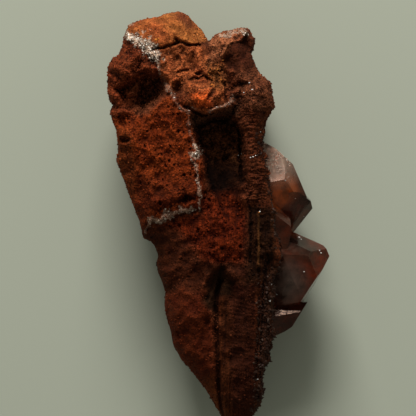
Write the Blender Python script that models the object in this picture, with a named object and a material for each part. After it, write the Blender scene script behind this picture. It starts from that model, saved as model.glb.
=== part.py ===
# Calcite crystals on a wedge of rusty hematite rock, lying on its broken back.
# The rock's long way runs along Y, the crystals stand on its +X side, and +Z is up.
import math

import bmesh
import bpy
import numpy as np
from mathutils import Vector, noise

MM = 0.001  # every length below is in millimetres and is turned into metres once

# Driving dimensions of the rock
GRAIN = 0.7           # spacing of the points that carry the relief
ROCK_TRIANGLES = 8200
SOCKET_GAP = 0.3      # free space between a crystal's root and the rock
ROLL_RIGHT = 1.5      # how far the front edge is rounded over, on each side
ROLL_LEFT = 5.0
ROLL_ENDS = 6.5
ROLL_BACK = 3.0
SLOPE_LEFT = 0.11     # the front falls away to the left of the rib
RIB_X = 6.0
LEAN_LEFT = 3.0       # how far the sides draw in towards the back
LEAN_RIGHT = 1.0
LEAN_TOP = 3.0
LEAN_STARTS_LEFT = 15.0   # distances from the middle line at which that draw is full
LEAN_STARTS_RIGHT = 8.0
LEAN_STARTS_TOP = 20.0
SIDES_MEET = 5.0      # width over which the left side's treatment turns into the right side's
TOP_END = 33.0        # the top end and the foot are rounded over more than the sides
TOP_END_LENGTH = 6.0
FOOT_END = -34.0
FOOT_END_LENGTH = 5.0
BLOCK_HEIGHT = 20.0   # height of the plain block that is then shaped
OUTLINE_RISE = 0.75   # the part of that height at which the rock is widest
OUTLINE_BAND = 0.35   # the sides are hollowed only further than this from it
SOFTENED = 0.55       # below this part of the height the outline's nicks die out
SOFTENING_ROUNDS = 24
FOOT_UNCARVED = -42.0     # the sides of the thin foot stay whole
FOOT_UNCARVED_LENGTH = 14.0
CRUST_TIP = 2.3       # distance between the small crystal points on the right side
CRUST_TIP_HEIGHT = 1.2
CRUST_SUNK = 0.5      # how far the crust lies back between them
TIP_SHARPNESS = 1.6

# Roughness of the rock, layer by layer: size of the lumps, how high they are, seed, and whether
# they meet in sharp creases, as on broken stone
WANDER_X = [(3.4, 0.9, 11, False), (1.5, 0.4, 12, False)]
WANDER_Y = [(3.4, 0.9, 13, False), (1.5, 0.4, 14, False)]
FRONT_ROUGHNESS = [(6.0, 0.9, 1, False), (3.2, 0.5, 2, True), (1.6, 0.3, 3, False)]
BACK_ROUGHNESS = [(7.0, 1.0, 4, False), (3.5, 0.5, 5, True)]
SIDE_ROUGHNESS = [(7.0, 1.1, 6, False), (3.6, 0.35, 8, True)]
SIDE_HOLLOWING = 1.45     # how far the left side is worn back on average

# The rock's outline from above, (x, y), clockwise from the left end of the top cap
CAP_EDGE = [(-18.1, 39.9), (-15.3, 41.0), (-12.0, 41.6), (-10.5, 42.2), (-8.1, 42.7), (-6.8, 42.3),
            (-5.8, 41.6), (-3.3, 38.8), (-2.6, 37.6), (-2.1, 36.3)]
TOOTH_EDGE = [(-1.1, 37.0), (-0.2, 37.8), (2.9, 38.4), (4.9, 38.9), (6.1, 38.6), (6.5, 37.7), (7.0, 36.8),
              (6.9, 35.5), (6.3, 34.0), (6.5, 32.8)]
SHOULDER_EDGE = [(7.5, 30.9), (8.5, 29.0), (9.8, 28.1), (10.3, 25.8), (10.5, 24.5), (11.0, 23.3),
                 (9.4, 21.0)]
CRYSTAL_EDGE = [(8.8, 18.7), (8.7, 16.1), (8.9, 14.1), (9.4, 11.5), (9.8, 9.1), (10.0, 6.9), (10.4, 4.7),
                (11.0, 2.6), (11.2, -1.5), (11.9, -3.9), (12.4, -6.0), (12.3, -8.0), (11.0, -11.1),
                (10.8, -14.9), (10.8, -23.1)]
FOOT_EDGE = [(10.1, -24.6), (9.7, -26.4), (9.4, -28.4), (8.8, -30.9), (8.8, -34.1), (8.2, -35.8),
             (7.6, -37.0), (6.9, -38.5), (6.0, -40.4), (4.9, -41.8), (3.9, -42.6), (2.6, -41.6),
             (0.5, -38.3)]
LOWER_LEFT_EDGE = [(-1.4, -35.2), (-2.8, -33.1), (-6.2, -28.6), (-7.7, -27.1), (-8.9, -24.7), (-9.6, -21.7),
                   (-10.7, -18.4), (-11.0, -16.3), (-10.7, -13.6), (-12.1, -10.1), (-12.5, -8.1),
                   (-12.3, -6.2), (-13.0, -4.5), (-13.8, -3.5), (-15.3, -2.9), (-15.5, -1.6)]
UPPER_LEFT_EDGE = [(-16.1, 1.0), (-16.8, 2.7), (-17.8, 5.2), (-19.4, 9.5), (-20.3, 12.0), (-20.1, 14.6),
                   (-20.6, 18.7), (-21.4, 20.5), (-21.7, 22.3), (-21.1, 23.7), (-21.9, 24.5), (-22.3, 26.3),
                   (-22.4, 30.7), (-22.1, 31.9), (-21.4, 33.0), (-20.2, 33.6), (-19.6, 34.5), (-19.1, 36.0),
                   (-19.0, 37.3), (-18.5, 38.6)]
OUTLINE = (CAP_EDGE + TOOTH_EDGE + SHOULDER_EDGE + CRYSTAL_EDGE + FOOT_EDGE + LOWER_LEFT_EDGE
           + UPPER_LEFT_EDGE)

# Height of the front and of the back along the rock, (y, z)
FRONT_CROWN = [(-42.6, 15.0), (-30.0, 18.5), (-12.0, 21.3), (10.0, 23.0), (26.0, 23.6), (42.4, 21.0)]
BACK_CROWN = [(-42.6, 3.2), (-30.0, 0.9), (-10.0, 0.2), (25.0, 0.1), (42.4, 2.8)]

MIDDLE_LINE = [(-42.0, 4.0), (-20.0, 0.5), (0.0, -2.0), (42.0, -5.0)]  # halfway across, (y, x)

# Rounded swellings of the front: x, y, reach along, reach across, turn in degrees, rise
LUMPS = {
    "top cap": (-10.5, 38.0, 10.0, 4.6, -6, 1.8),
    "left brow": (-18.0, 32.4, 5.0, 3.2, 25, 1.5),
    "left shelf": (-19.0, 18.0, 4.5, 5.0, 0, 0.9),
    "knob": (-2.2, 24.6, 6.2, 4.4, -14, 5.0),
    "ledge brow": (-9.5, 4.8, 8.5, 5.0, 8, 1.1),
    "knob neck": (-1.2, 30.4, 6.0, 4.0, 35, 1.6),
    "tooth": (1.0, 35.9, 4.4, 3.6, 25, 2.2),
    "shoulder": (7.9, 26.0, 3.8, 6.2, 0, 1.8),
    "orange face": (-2.5, -3.5, 8.0, 8.5, 0, 0.9),
    "lower lobe": (-6.0, -21.5, 6.4, 15.0, 12, 2.3),
    "small pit": (-8.3, 27.1, 1.6, 1.6, 0, -2.0),
    "deep of the hollow": (-13.7, 26.5, 5.2, 3.0, 52, -6.0),
    "left pit": (-19.0, 20.6, 2.4, 1.8, 0, -1.6),
}

# Areas that stand up from the front or lie below it: corners, rise at the upper end and at the
# lower end, width of the edge
AREAS = {
    "left plate": ([(-24, 22), (-14, 22.5), (-9.5, 25.5), (-6.5, 24), (-5.3, 21.5), (-4.4, 18),
                    (-3.9, 14), (-3.5, 9), (-3.2, 3.4), (-8.5, 2.1), (-13.1, 1.3), (-15, -2), (-24, -2)],
                   1.0, 0.7, 0.9),
    "hollow": ([(-20.4, 26.6), (-16.8, 28.8), (-14.1, 29.6), (-12.2, 29.3), (-11.4, 27.0),
                (-12.8, 24.8), (-14.4, 22.2), (-15.7, 20.4), (-17.3, 20.8), (-18.6, 23.4)],
               -3.2, -2.2, 1.2),
    "alcove": ([(-4.2, 20.0), (-1.0, 20.9), (2.0, 21.8), (4.0, 18.9), (4.7, 14.7), (5.0, 8.0),
                (4.4, 2.0), (2.6, -2.5), (1.0, 1.0), (-1.0, 6.0), (-2.6, 10.5), (-3.3, 14.0),
                (-3.8, 17.5)], -7.4, -0.3, 0.9),
    "arch pocket": ([(-0.1, -9.4), (2.2, -11.5), (3.2, -14.5), (1.8, -19.0), (-1.6, -19.0),
                     (-3.0, -14.2), (-2.1, -11.0)], -4.6, -1.6, 1.0),
    "tooth hollow": ([(3.2, 36.8), (6.2, 37.6), (6.6, 35.4), (5.8, 32.6), (3.4, 30.6), (1.6, 32.0)],
                     -3.4, -2.6, 1.1),
    "crust band": ([(9.6, -6.0), (14.0, -8.0), (14.0, -36.0), (7.2, -36.0), (8.2, -14.0)], -0.8, -0.8, 0.8),
}

# Long ridges and grooves: points, half width, rise at the upper end and at the lower end
LINES = {
    "rib": ([(3.4, 33.5), (5.3, 26.5), (6.5, 18.7), (6.9, 10.7), (7.2, 4.7), (7.6, -4.0), (7.0, -16.0)],
            3.4, 3.0, 0.0),
    "cap crevice": ([(-13.9, 34.6), (-11.3, 35.2), (-8.7, 35.8), (-5.7, 35.5), (-2.6, 35.4)],
                    1.1, -2.2, -2.2),
    "long groove": ([(-0.3, -15.0), (-0.5, -19.3), (-0.3, -25.3), (-0.1, -31.3), (0.7, -38.0)],
                    1.1, -1.9, -1.5),
    "crust groove": ([(8.0, -9.0), (8.0, -20.0), (7.4, -31.0)], 0.8, -0.4, -1.2),
    "white vein": ([(-19.0, 38.0), (-16.5, 36.3), (-14.5, 34.5), (-12.5, 32.6), (-11.6, 29.9),
                    (-10.5, 27.1), (-7.6, 24.9), (-5.6, 21.8)], 1.1, 1.0, 0.7),
    "thin vein": ([(-5.6, 21.8), (-4.5, 18.7), (-3.9, 14.5), (-3.6, 9.1), (-3.2, 3.4)], 0.8, 0.6, 0.4),
    "grey vein": ([(-3.2, 3.4), (-8.5, 2.1), (-13.1, 1.3), (-14.8, -2.0)], 0.9, 0.9, 0.9),
}

# The crystals that have grown together: a point inside, the edges of the outline seen from above
# and further faces. An edge is (x1, y1, x2, y2), its height, and the lean in degrees of the face
# above it towards the sky and of the face below it. A further face has one lean.
CRYSTALS = {
    "upper": ((13.0, 6.5, 11.0), [
        (7.0, 16.8, 9.6, 16.6, 12.2, 34, -24),
        (9.6, 16.6, 14.4, 12.9, 12.2, 48, -26),
        (14.6, 12.7, 17.6, 5.7, 12.2, 47, -22),
    ], [
        (10.0, 9.3, 13.2, 9.75, 14.7, 64),
        (19.7, 3.3, 17.5, 1.25, 9.4, 46),
        (17.7, 5.5, 14.9, -1.0, 10.0, -25),
        (16.0, -1.8, 8.0, -2.6, 9.0, 10),
        (12.0, 0.0, 14.0, 10.0, 2.6, -80),
        (7.4, 17.0, 9.3, -3.0, 10.0, 0),
    ]),
    "blade": ((16.0, 2.0, 8.5), [
        (17.2, 6.1, 18.6, 4.7, 8.5, 20, -25),
        (18.6, 4.7, 18.95, 3.1, 8.5, 12, -20),
        (18.95, 3.0, 15.3, -1.6, 8.5, 35, -30),
    ], [
        (19.7, 3.3, 17.5, 1.25, 9.4, 46),
        (14.0, 7.0, 14.0, -3.0, 9.0, 0),
        (14.0, -2.0, 18.0, -2.0, 5.5, -78),
        (14.0, -1.7, 17.0, -1.7, 9.0, 0),
        (13.5, 6.3, 18.0, 6.3, 9.0, 0),
    ]),
    "fin": ((12.7, -0.5, 13.0), [
        (10.7, 4.4, 14.3, 1.0, 15.0, 30, -10),
        (14.35, 1.2, 14.6, -1.8, 15.0, 8, -8),
        (14.6, -1.8, 13.3, -7.0, 15.0, 8, -8),
    ], [
        (14.0, 4.0, 14.6, -6.0, 16.9, 78),
        (11.4, -2.0, 13.4, -7.0, 15.0, 4),
        (12.0, -4.0, 13.0, 2.0, 8.0, -80),
        (10.0, 5.0, 10.0, -7.0, 12.0, 0),
    ]),
    "lower": ((15.0, -9.0, 11.0), [
        (15.3, -1.75, 20.4, -3.7, 11.0, 24, -30),
        (20.4, -3.7, 21.7, -5.0, 11.0, 27, -32),
        (21.7, -5.0, 22.3, -6.5, 11.0, 20, -32),
        (22.3, -6.6, 17.4, -15.9, 11.0, 17, -28),
    ], [
        (15.0, -5.8, 19.0, -6.8, 17.4, 50),
        (17.5, -10.0, 18.1, -9.2, 17.0, 80),
        (13.0, -7.5, 14.46, -8.86, 17.8, 68),
        (10.9, -17.3, 17.4, -16.3, 13.0, 14),
        (12.0, -12.0, 14.0, -2.0, 3.4, -80),
        (9.4, -1.0, 8.8, -20.0, 10.0, 0),
    ]),
    "bottom": ((12.5, -18.5, 10.0), [
        (17.4, -16.6, 14.75, -20.9, 9.5, 22, -30),
        (14.75, -20.9, 12.9, -22.1, 9.5, 28, -34),
        (12.9, -22.1, 8.0, -24.2, 9.5, 34, -36),
    ], [
        (10.0, -15.8, 17.4, -15.8, 10.0, 0),
        (11.0, -21.45, 15.0, -20.55, 13.2, 58),
        (10.6, -17.75, 12.6, -17.45, 14.4, 64),
        (10.0, -22.0, 12.0, -15.0, 4.6, -80),
        (8.9, -14.0, 8.9, -24.0, 10.0, 0),
    ]),
}

UNCUT_CRYSTAL = 60.0                # side of the block that each crystal is cut from
FLOOR_SLAB = (100.0, 140.0, 10.0)   # size of the slab that cuts the flats to rest on
SAME_POINT = 1e-8                   # metres

ROCK_COLOUR = (0.125, 0.030, 0.011, 1.0)
ROCK_ROUGHNESS = 0.9
CALCITE_COLOUR = (0.24, 0.085, 0.045, 1.0)
CALCITE_ROUGHNESS = 0.12
CALCITE_CLARITY = 0.5


def clear_scene():
    for thing in list(bpy.data.objects):
        bpy.data.objects.remove(thing, do_unlink=True)


def add_object(name, mesh):
    thing = bpy.data.objects.new(name, mesh)
    bpy.context.scene.collection.objects.link(thing)
    return thing


def hide_tool(thing):
    thing.hide_render = True
    thing.display_type = "WIRE"


def make_material(name, colour, roughness, clarity):
    material = bpy.data.materials.new(name)
    material.use_nodes = True
    shader = material.node_tree.nodes["Principled BSDF"]
    shader.inputs["Base Color"].default_value = colour
    shader.inputs["Roughness"].default_value = roughness
    shader.inputs["Metallic"].default_value = 0.0
    shader.inputs["Transmission Weight"].default_value = clarity
    material.diffuse_color = colour
    return material


def soft_step(t):
    t = np.clip(t, 0.0, 1.0)
    return t * t * (3.0 - 2.0 * t)


def along(y, crown):
    heights = sorted(crown)
    return np.interp(y, [h[0] for h in heights], [h[1] for h in heights])


def between_ends(y, corners, low, high):
    levels = [corner[1] for corner in corners]
    return np.interp(y, [min(levels), max(levels)], [low, high])


def distance_to_path(x, y, path, closed=False):
    ends = path[1:] + path[:1] if closed else path[1:]
    nearest = np.full(len(x), 1e9)
    for (ax, ay), (bx, by) in zip(path, ends):
        dx, dy = bx - ax, by - ay
        t = np.clip(((x - ax) * dx + (y - ay) * dy) / (dx * dx + dy * dy), 0.0, 1.0)
        nearest = np.minimum(nearest, np.hypot(x - ax - t * dx, y - ay - t * dy))
    return nearest


def inside(x, y, corners):
    crossings = np.zeros(len(x), dtype=int)
    for (ax, ay), (bx, by) in zip(corners, corners[1:] + corners[:1]):
        if ay == by:
            continue
        spans = (ay > y) != (by > y)
        crossings += spans & (x < ax + (y - ay) * (bx - ax) / (by - ay))
    return crossings % 2 == 1


# Height of the roughness at each point, all its layers together
def roughness(points, layers):
    total = np.zeros(len(points))
    for size, height, seed, creased in layers:
        shift = Vector((seed * 7.3, seed * 3.1, seed * 5.7))
        lumps = np.array([noise.noise(Vector(p) / size + shift) for p in points])
        total += height * (1.0 - 2.0 * np.abs(lumps) if creased else lumps)
    return total


# Small points on the crust: 1 at a tip and 0 between tips
def crystal_tips(y, z):
    found = [noise.voronoi(Vector((0.0, b, c)) / CRUST_TIP)[0][0] for b, c in zip(y, z)]
    return np.clip(1.0 - np.array(found) * TIP_SHARPNESS, 0.0, 1.0)


def front_height(x, y):
    z = along(y, FRONT_CROWN) - SLOPE_LEFT * np.clip(RIB_X - x, 0.0, None)
    for cx, cy, reach_x, reach_y, turn, rise in LUMPS.values():
        c, s = math.cos(math.radians(turn)), math.sin(math.radians(turn))
        u = ((x - cx) * c + (y - cy) * s) / reach_x
        v = ((y - cy) * c - (x - cx) * s) / reach_y
        z += rise * np.clip(1.0 - u * u - v * v, 0.0, None) ** 1.5
    for corners, upper_rise, lower_rise, edge in AREAS.values():
        depth = distance_to_path(x, y, corners, closed=True)
        depth = np.where(inside(x, y, corners), depth, -depth)
        rise = between_ends(y, corners, lower_rise, upper_rise)
        z += rise * soft_step(0.5 + depth / (2.0 * edge))
    for path, half_width, upper_rise, lower_rise in LINES.values():
        rise = between_ends(y, path, lower_rise, upper_rise)
        z += rise * soft_step(1.0 - distance_to_path(x, y, path) / half_width)
    return z


# How far a rounded edge lies below the face, at a distance inside the outline
def rolled(depth, radius):
    t = np.clip(1.0 - depth / radius, 0.0, 1.0)
    return radius * (1.0 - np.sqrt(1.0 - t * t))


# The outline drawn up into a block, with evenly spaced points all over
def rock_block():
    flat = bmesh.new()
    corners = [flat.verts.new((x * MM, y * MM, 0.0)) for x, y in OUTLINE]
    face = flat.faces.new(corners)
    raised = bmesh.ops.extrude_face_region(flat, geom=[face])["geom"]
    tops = [v for v in raised if isinstance(v, bmesh.types.BMVert)]
    bmesh.ops.translate(flat, verts=tops, vec=(0.0, 0.0, BLOCK_HEIGHT * MM))
    bmesh.ops.recalc_face_normals(flat, faces=flat.faces)
    mesh = bpy.data.meshes.new("rock block")
    flat.to_mesh(mesh)
    flat.free()
    block = add_object("rock_block", mesh)
    grain = block.modifiers.new("even points", "REMESH")
    grain.mode = "VOXEL"
    grain.voxel_size = GRAIN * MM
    even = bpy.data.meshes.new_from_object(block.evaluated_get(bpy.context.evaluated_depsgraph_get()))
    bpy.data.objects.remove(block, do_unlink=True)
    soft = bmesh.new()
    soft.from_mesh(even)
    lower = [v for v in soft.verts if v.co.z < SOFTENED * BLOCK_HEIGHT * MM]
    for _ in range(SOFTENING_ROUNDS):
        bmesh.ops.smooth_vert(soft, verts=lower, factor=0.5, use_axis_x=True, use_axis_y=True)
    soft.to_mesh(even)
    soft.free()
    return even


# Radius of the rounding along the front edge
def front_rounding(y, left, right):
    top = soft_step((y - TOP_END) / TOP_END_LENGTH) * (1.0 - 0.6 * right)
    foot = soft_step((FOOT_END - y) / FOOT_END_LENGTH) * 0.4
    ends = np.maximum(top, foot)
    return (ROLL_LEFT * left + ROLL_RIGHT * right) * (1.0 - ends) + ROLL_ENDS * ends


def shape_rock(mesh):
    count = len(mesh.vertices)
    flat = np.empty(count * 3)
    mesh.vertices.foreach_get("co", flat)
    points = flat.reshape(-1, 3) / MM
    normals = np.empty(count * 3)
    mesh.vertices.foreach_get("normal", normals)
    normals = normals.reshape(-1, 3)
    x, y = points[:, 0].copy(), points[:, 1].copy()
    rise = np.clip(points[:, 2] / BLOCK_HEIGHT, 0.0, 1.0)

    depth = np.where(inside(x, y, OUTLINE), distance_to_path(x, y, OUTLINE, closed=True), 0.0)
    middle = along(y, MIDDLE_LINE)
    right = soft_step((x - middle) / SIDES_MEET)
    left = 1.0 - right

    # Each point goes to its share of the way from the back to the front
    on_front = points * (1.0, 1.0, 0.0)
    looked_up_x = x + roughness(on_front, WANDER_X)
    looked_up_y = y + roughness(on_front, WANDER_Y)
    front = front_height(looked_up_x, looked_up_y) - rolled(depth, front_rounding(y, left, right))
    front += roughness(on_front, FRONT_ROUGHNESS) * (0.5 + 0.5 * left)
    back = along(y, BACK_CROWN) + rolled(depth, ROLL_BACK) + roughness(on_front, BACK_ROUGHNESS)
    z = back + rise * (front - back)

    # The sides draw in towards the back
    low = (1.0 - rise) ** 2
    x += LEAN_LEFT * low * np.clip((middle - x) / LEAN_STARTS_LEFT, 0.0, 1.0)
    x -= LEAN_RIGHT * low * np.clip((x - middle) / LEAN_STARTS_RIGHT, 0.0, 1.0)
    y -= LEAN_TOP * low * np.clip((y - LEAN_STARTS_TOP) / LEAN_STARTS_TOP, 0.0, 1.0)

    # Hollows and lumps of the sides, which leave the outline where it is at one height
    upright = np.hypot(normals[:, 0], normals[:, 1]) ** 2
    away = np.clip(np.abs(rise - OUTLINE_RISE) / OUTLINE_BAND, 0.0, 1.0)
    carve = left * away * (SIDE_HOLLOWING + roughness(np.stack([x, y, z], axis=1), SIDE_ROUGHNESS))
    carve *= soft_step((y - FOOT_UNCARVED) / FOOT_UNCARVED_LENGTH)
    crusted = right * soft_step((normals[:, 0] - 0.3) / 0.4)
    push = (crusted * (crystal_tips(y, z) * CRUST_TIP_HEIGHT - CRUST_SUNK) - carve) * upright
    x += push * normals[:, 0]
    y += push * normals[:, 1]
    mesh.vertices.foreach_set("co", (np.stack([x, y, z], axis=1) * MM).ravel())
    mesh.update()


# Point and outward direction of a crystal face, moved out by the gap, in millimetres
def outward_plane(face, centre, gap):
    x1, y1, x2, y2, height, lean = face
    across = Vector((y2 - y1, x1 - x2, 0.0)).normalized()
    if across.dot(Vector((x1 - centre[0], y1 - centre[1], 0.0))) < 0.0:
        across = -across
    tilt = math.radians(lean)
    outward = across * math.cos(tilt) + Vector((0.0, 0.0, math.sin(tilt)))
    return Vector((x1, y1, height)) + outward * gap, outward


# A crystal with flat faces, cut from a block one face after another
def add_crystal(name, centre, edges, faces, gap):
    shape = bmesh.new()
    bmesh.ops.create_cube(shape, size=UNCUT_CRYSTAL * MM)
    bmesh.ops.translate(shape, verts=shape.verts, vec=Vector(centre) * MM)
    above = [edge[:6] for edge in edges]
    below = [edge[:5] + edge[6:] for edge in edges]
    for face in above + below + faces:
        point, outward = outward_plane(face, centre, gap)
        everything = shape.verts[:] + shape.edges[:] + shape.faces[:]
        cut = bmesh.ops.bisect_plane(shape, geom=everything, plane_co=point * MM, plane_no=outward,
                                     clear_outer=True, dist=SAME_POINT)
        rim = [e for e in cut["geom_cut"] if isinstance(e, bmesh.types.BMEdge)]
        if rim:
            bmesh.ops.contextual_create(shape, geom=rim)
    bmesh.ops.recalc_face_normals(shape, faces=shape.faces)
    mesh = bpy.data.meshes.new(name)
    shape.to_mesh(mesh)
    shape.free()
    return add_object(name, mesh)


def add_boolean(thing, tool, operation):
    step = thing.modifiers.new(tool.name, "BOOLEAN")
    step.operation = operation
    step.solver = "EXACT"
    step.object = tool
    hide_tool(tool)


# The grown-together crystals as one solid, larger all round by the gap
def add_cluster(name, suffix, gap):
    crystals = [add_crystal(kind + suffix, *shape, gap) for kind, shape in CRYSTALS.items()]
    cluster = crystals[0]
    cluster.name = name
    for other in crystals[1:]:
        add_boolean(cluster, other, "UNION")
    return cluster


# A slab whose top is the flat that the rock rests on
def add_floor_cut():
    slab = bmesh.new()
    bmesh.ops.create_cube(slab, size=1.0)
    bmesh.ops.scale(slab, verts=slab.verts, vec=Vector(FLOOR_SLAB) * MM)
    bmesh.ops.translate(slab, verts=slab.verts, vec=(0.0, 0.0, -FLOOR_SLAB[2] / 2.0 * MM))
    mesh = bpy.data.meshes.new("floor cut")
    slab.to_mesh(mesh)
    slab.free()
    return add_object("floor_cut", mesh)


def add_matrix():
    mesh = rock_block()
    shape_rock(mesh)
    mesh.name = "matrix"
    rock = add_object("matrix", mesh)
    mesh.calc_loop_triangles()
    thin = rock.modifiers.new("fewer faces", "DECIMATE")
    thin.ratio = ROCK_TRIANGLES / len(mesh.loop_triangles)
    thin.use_collapse_triangulate = True
    add_boolean(rock, add_cluster("root_cutter", "_socket", SOCKET_GAP), "DIFFERENCE")
    add_boolean(rock, add_floor_cut(), "DIFFERENCE")
    return rock


# Parent everything to one empty that brings the middle of the box over the origin
def centre_on_origin(pieces):
    bpy.context.view_layer.update()
    graph = bpy.context.evaluated_depsgraph_get()
    corners = []
    for piece in pieces:
        shape = piece.evaluated_get(graph)
        corners += [piece.matrix_world @ v.co for v in shape.data.vertices]
    middle = [(min(c[i] for c in corners) + max(c[i] for c in corners)) / 2.0 for i in range(2)]
    specimen = bpy.data.objects.new("specimen", None)
    bpy.context.scene.collection.objects.link(specimen)
    for thing in list(bpy.data.objects):
        if thing is not specimen and thing.parent is None:
            thing.parent = specimen
    specimen.location = (-middle[0], -middle[1], 0.0)


def main():
    clear_scene()
    rock = add_matrix()
    rock_look = make_material("hematite_rock", ROCK_COLOUR, ROCK_ROUGHNESS, 0.0)
    rock.data.materials.append(rock_look)
    cluster = add_cluster("calcite_cluster", "_crystal", 0.0)
    calcite_look = make_material("calcite", CALCITE_COLOUR, CALCITE_ROUGHNESS, CALCITE_CLARITY)
    cluster.data.materials.append(calcite_look)
    centre_on_origin([rock, cluster])


main()
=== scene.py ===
import math

import bmesh
import bpy
import numpy as np
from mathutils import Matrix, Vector, noise
from mathutils.bvhtree import BVHTree


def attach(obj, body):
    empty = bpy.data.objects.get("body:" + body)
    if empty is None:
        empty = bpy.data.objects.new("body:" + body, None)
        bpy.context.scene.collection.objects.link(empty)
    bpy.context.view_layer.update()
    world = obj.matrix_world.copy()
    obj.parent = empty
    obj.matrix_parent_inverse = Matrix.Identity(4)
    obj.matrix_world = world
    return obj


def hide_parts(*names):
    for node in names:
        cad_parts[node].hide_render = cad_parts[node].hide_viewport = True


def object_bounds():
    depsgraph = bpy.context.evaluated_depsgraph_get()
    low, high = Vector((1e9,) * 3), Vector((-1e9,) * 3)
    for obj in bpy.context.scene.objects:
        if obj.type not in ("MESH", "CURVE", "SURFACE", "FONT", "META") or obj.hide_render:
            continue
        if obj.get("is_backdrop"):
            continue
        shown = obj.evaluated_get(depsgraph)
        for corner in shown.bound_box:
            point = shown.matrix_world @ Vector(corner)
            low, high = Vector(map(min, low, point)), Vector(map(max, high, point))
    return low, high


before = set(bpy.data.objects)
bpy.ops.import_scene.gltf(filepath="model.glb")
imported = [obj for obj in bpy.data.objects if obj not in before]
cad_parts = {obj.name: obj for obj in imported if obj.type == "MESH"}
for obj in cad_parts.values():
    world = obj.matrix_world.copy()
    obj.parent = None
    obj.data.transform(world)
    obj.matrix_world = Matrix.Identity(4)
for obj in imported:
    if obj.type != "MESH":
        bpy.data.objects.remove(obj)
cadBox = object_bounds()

mm = 0.001                         # the specimen is drawn in millimetres, seen from above
drawingShift = (-0.06, -0.065)     # brings the drawing to the middle of the frame's box

# The rock: a block with this outline, whose points are moved between a back and a front
rock = dict(
    pointSpacing=0.2,
    triangles=192000,
    blockHeight=9.0,
    outlineRise=0.75,              # share of the height at which the rock is widest
    outlineBand=0.35,              # and how near to it the sides keep their shape
    softenedBelow=0.55,            # the outline's nicks die out below this share
    softenings=150,                # how many times over
    rollRight=1.5,                 # radius of the front's edge on the right, on the left and at the ends
    rollLeft=5.0,
    rollEnds=6.5,
    rollTopRight=0.4,              # how much of rollEnds the right of the top and the foot have
    rollFoot=0.4,
    rollBack=3.0,
    slopeLeft=0.11,                # the front falls away to the left of the rib
    ribX=6.0,
    leanLeft=3.0,                  # the sides draw in towards the back by this much
    leanRight=1.0,
    leanTop=3.0,
    leftReach=15.0,                # and over this much
    rightReach=8.0,
    topFrom=20.0,
    topReach=20.0,
    sidesMeet=5.0,
    sideHollowing=1.1,
    fineSideLevel=0.45,            # taken off the fine roughness, so that the sides don't grow
    fineAtRim=0.25,                # share of the fine roughness of the sides that the outline keeps
    roughAtRight=0.5,              # and of the front's coarse roughness that its right side has
    straightened=0.85,             # how little the edges wander where they are straight
    standingRounds=14,             # how wide a stretch a point is compared with, to see if it stands out
    coarserBelow=0.97,             # the front keeps more of its faces than the rest
    flatBelow=0.0,                 # the rock rests on flats at this height
)

outline = [
    (-18.1, 39.9), (-15.3, 41.0), (-12.0, 41.6), (-10.5, 42.2), (-8.1, 42.7), (-6.8, 42.3), (-5.8, 41.6),
    (-3.3, 38.8), (-2.6, 37.6), (-2.1, 36.3), (-1.1, 37.0), (-0.2, 37.8), (2.9, 38.4), (4.9, 38.9),
    (6.1, 38.6), (6.5, 37.7), (7.0, 36.8), (6.9, 35.5), (6.3, 34.0), (6.5, 32.8), (7.5, 30.9),
    (8.5, 29.0), (9.8, 28.1), (10.3, 25.8), (10.5, 24.5), (11.0, 23.3), (9.4, 21.0), (8.8, 18.7),
    (8.7, 16.1), (8.9, 14.1), (9.4, 11.5), (9.8, 9.1), (10.0, 6.9), (10.4, 4.7), (11.0, 2.6),
    (11.2, -1.5), (11.9, -3.9), (12.4, -6.0), (12.3, -8.0), (11.0, -11.1), (10.8, -14.9), (10.8, -23.1),
    (10.1, -24.6), (9.7, -26.4), (9.4, -28.4), (8.8, -30.9), (8.8, -34.1), (8.2, -35.8), (7.6, -37.0),
    (6.9, -38.5), (6.0, -40.4), (4.9, -41.8), (3.9, -42.6), (2.6, -41.6), (0.5, -38.3), (-1.4, -35.2),
    (-2.8, -33.1), (-6.2, -28.6), (-7.7, -27.1), (-8.9, -24.7), (-9.6, -21.7), (-10.7, -18.4),
    (-11.0, -16.3), (-10.7, -13.6), (-12.1, -10.1), (-12.5, -8.1), (-12.3, -6.2), (-13.0, -4.5),
    (-13.8, -3.5), (-15.3, -2.9), (-15.5, -1.6), (-16.1, 1.0), (-16.8, 2.7), (-17.8, 5.2), (-19.4, 9.5),
    (-20.3, 12.0), (-20.1, 14.6), (-20.6, 18.7), (-21.4, 20.5), (-21.7, 22.3), (-21.1, 23.7),
    (-21.9, 24.5), (-22.3, 26.3), (-22.4, 30.7), (-22.1, 31.9), (-21.4, 33.0), (-20.2, 33.6),
    (-19.6, 34.5), (-19.1, 36.0), (-19.0, 37.3), (-18.5, 38.6),
]

# Heights along the rock, (y, z), and the line halfway across it, (y, x)
frontCrown = [(-42.6, 15.0), (-30.0, 18.5), (-12.0, 21.3), (10.0, 23.0), (26.0, 23.6), (42.4, 21.0)]
backCrown = [(-42.6, 3.2), (-30.0, 0.9), (-10.0, 0.2), (25.0, 0.1), (42.4, 2.8)]
middleLine = [(-42.0, 4.0), (-20.0, 0.5), (0.0, -2.0), (42.0, -5.0)]

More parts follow.
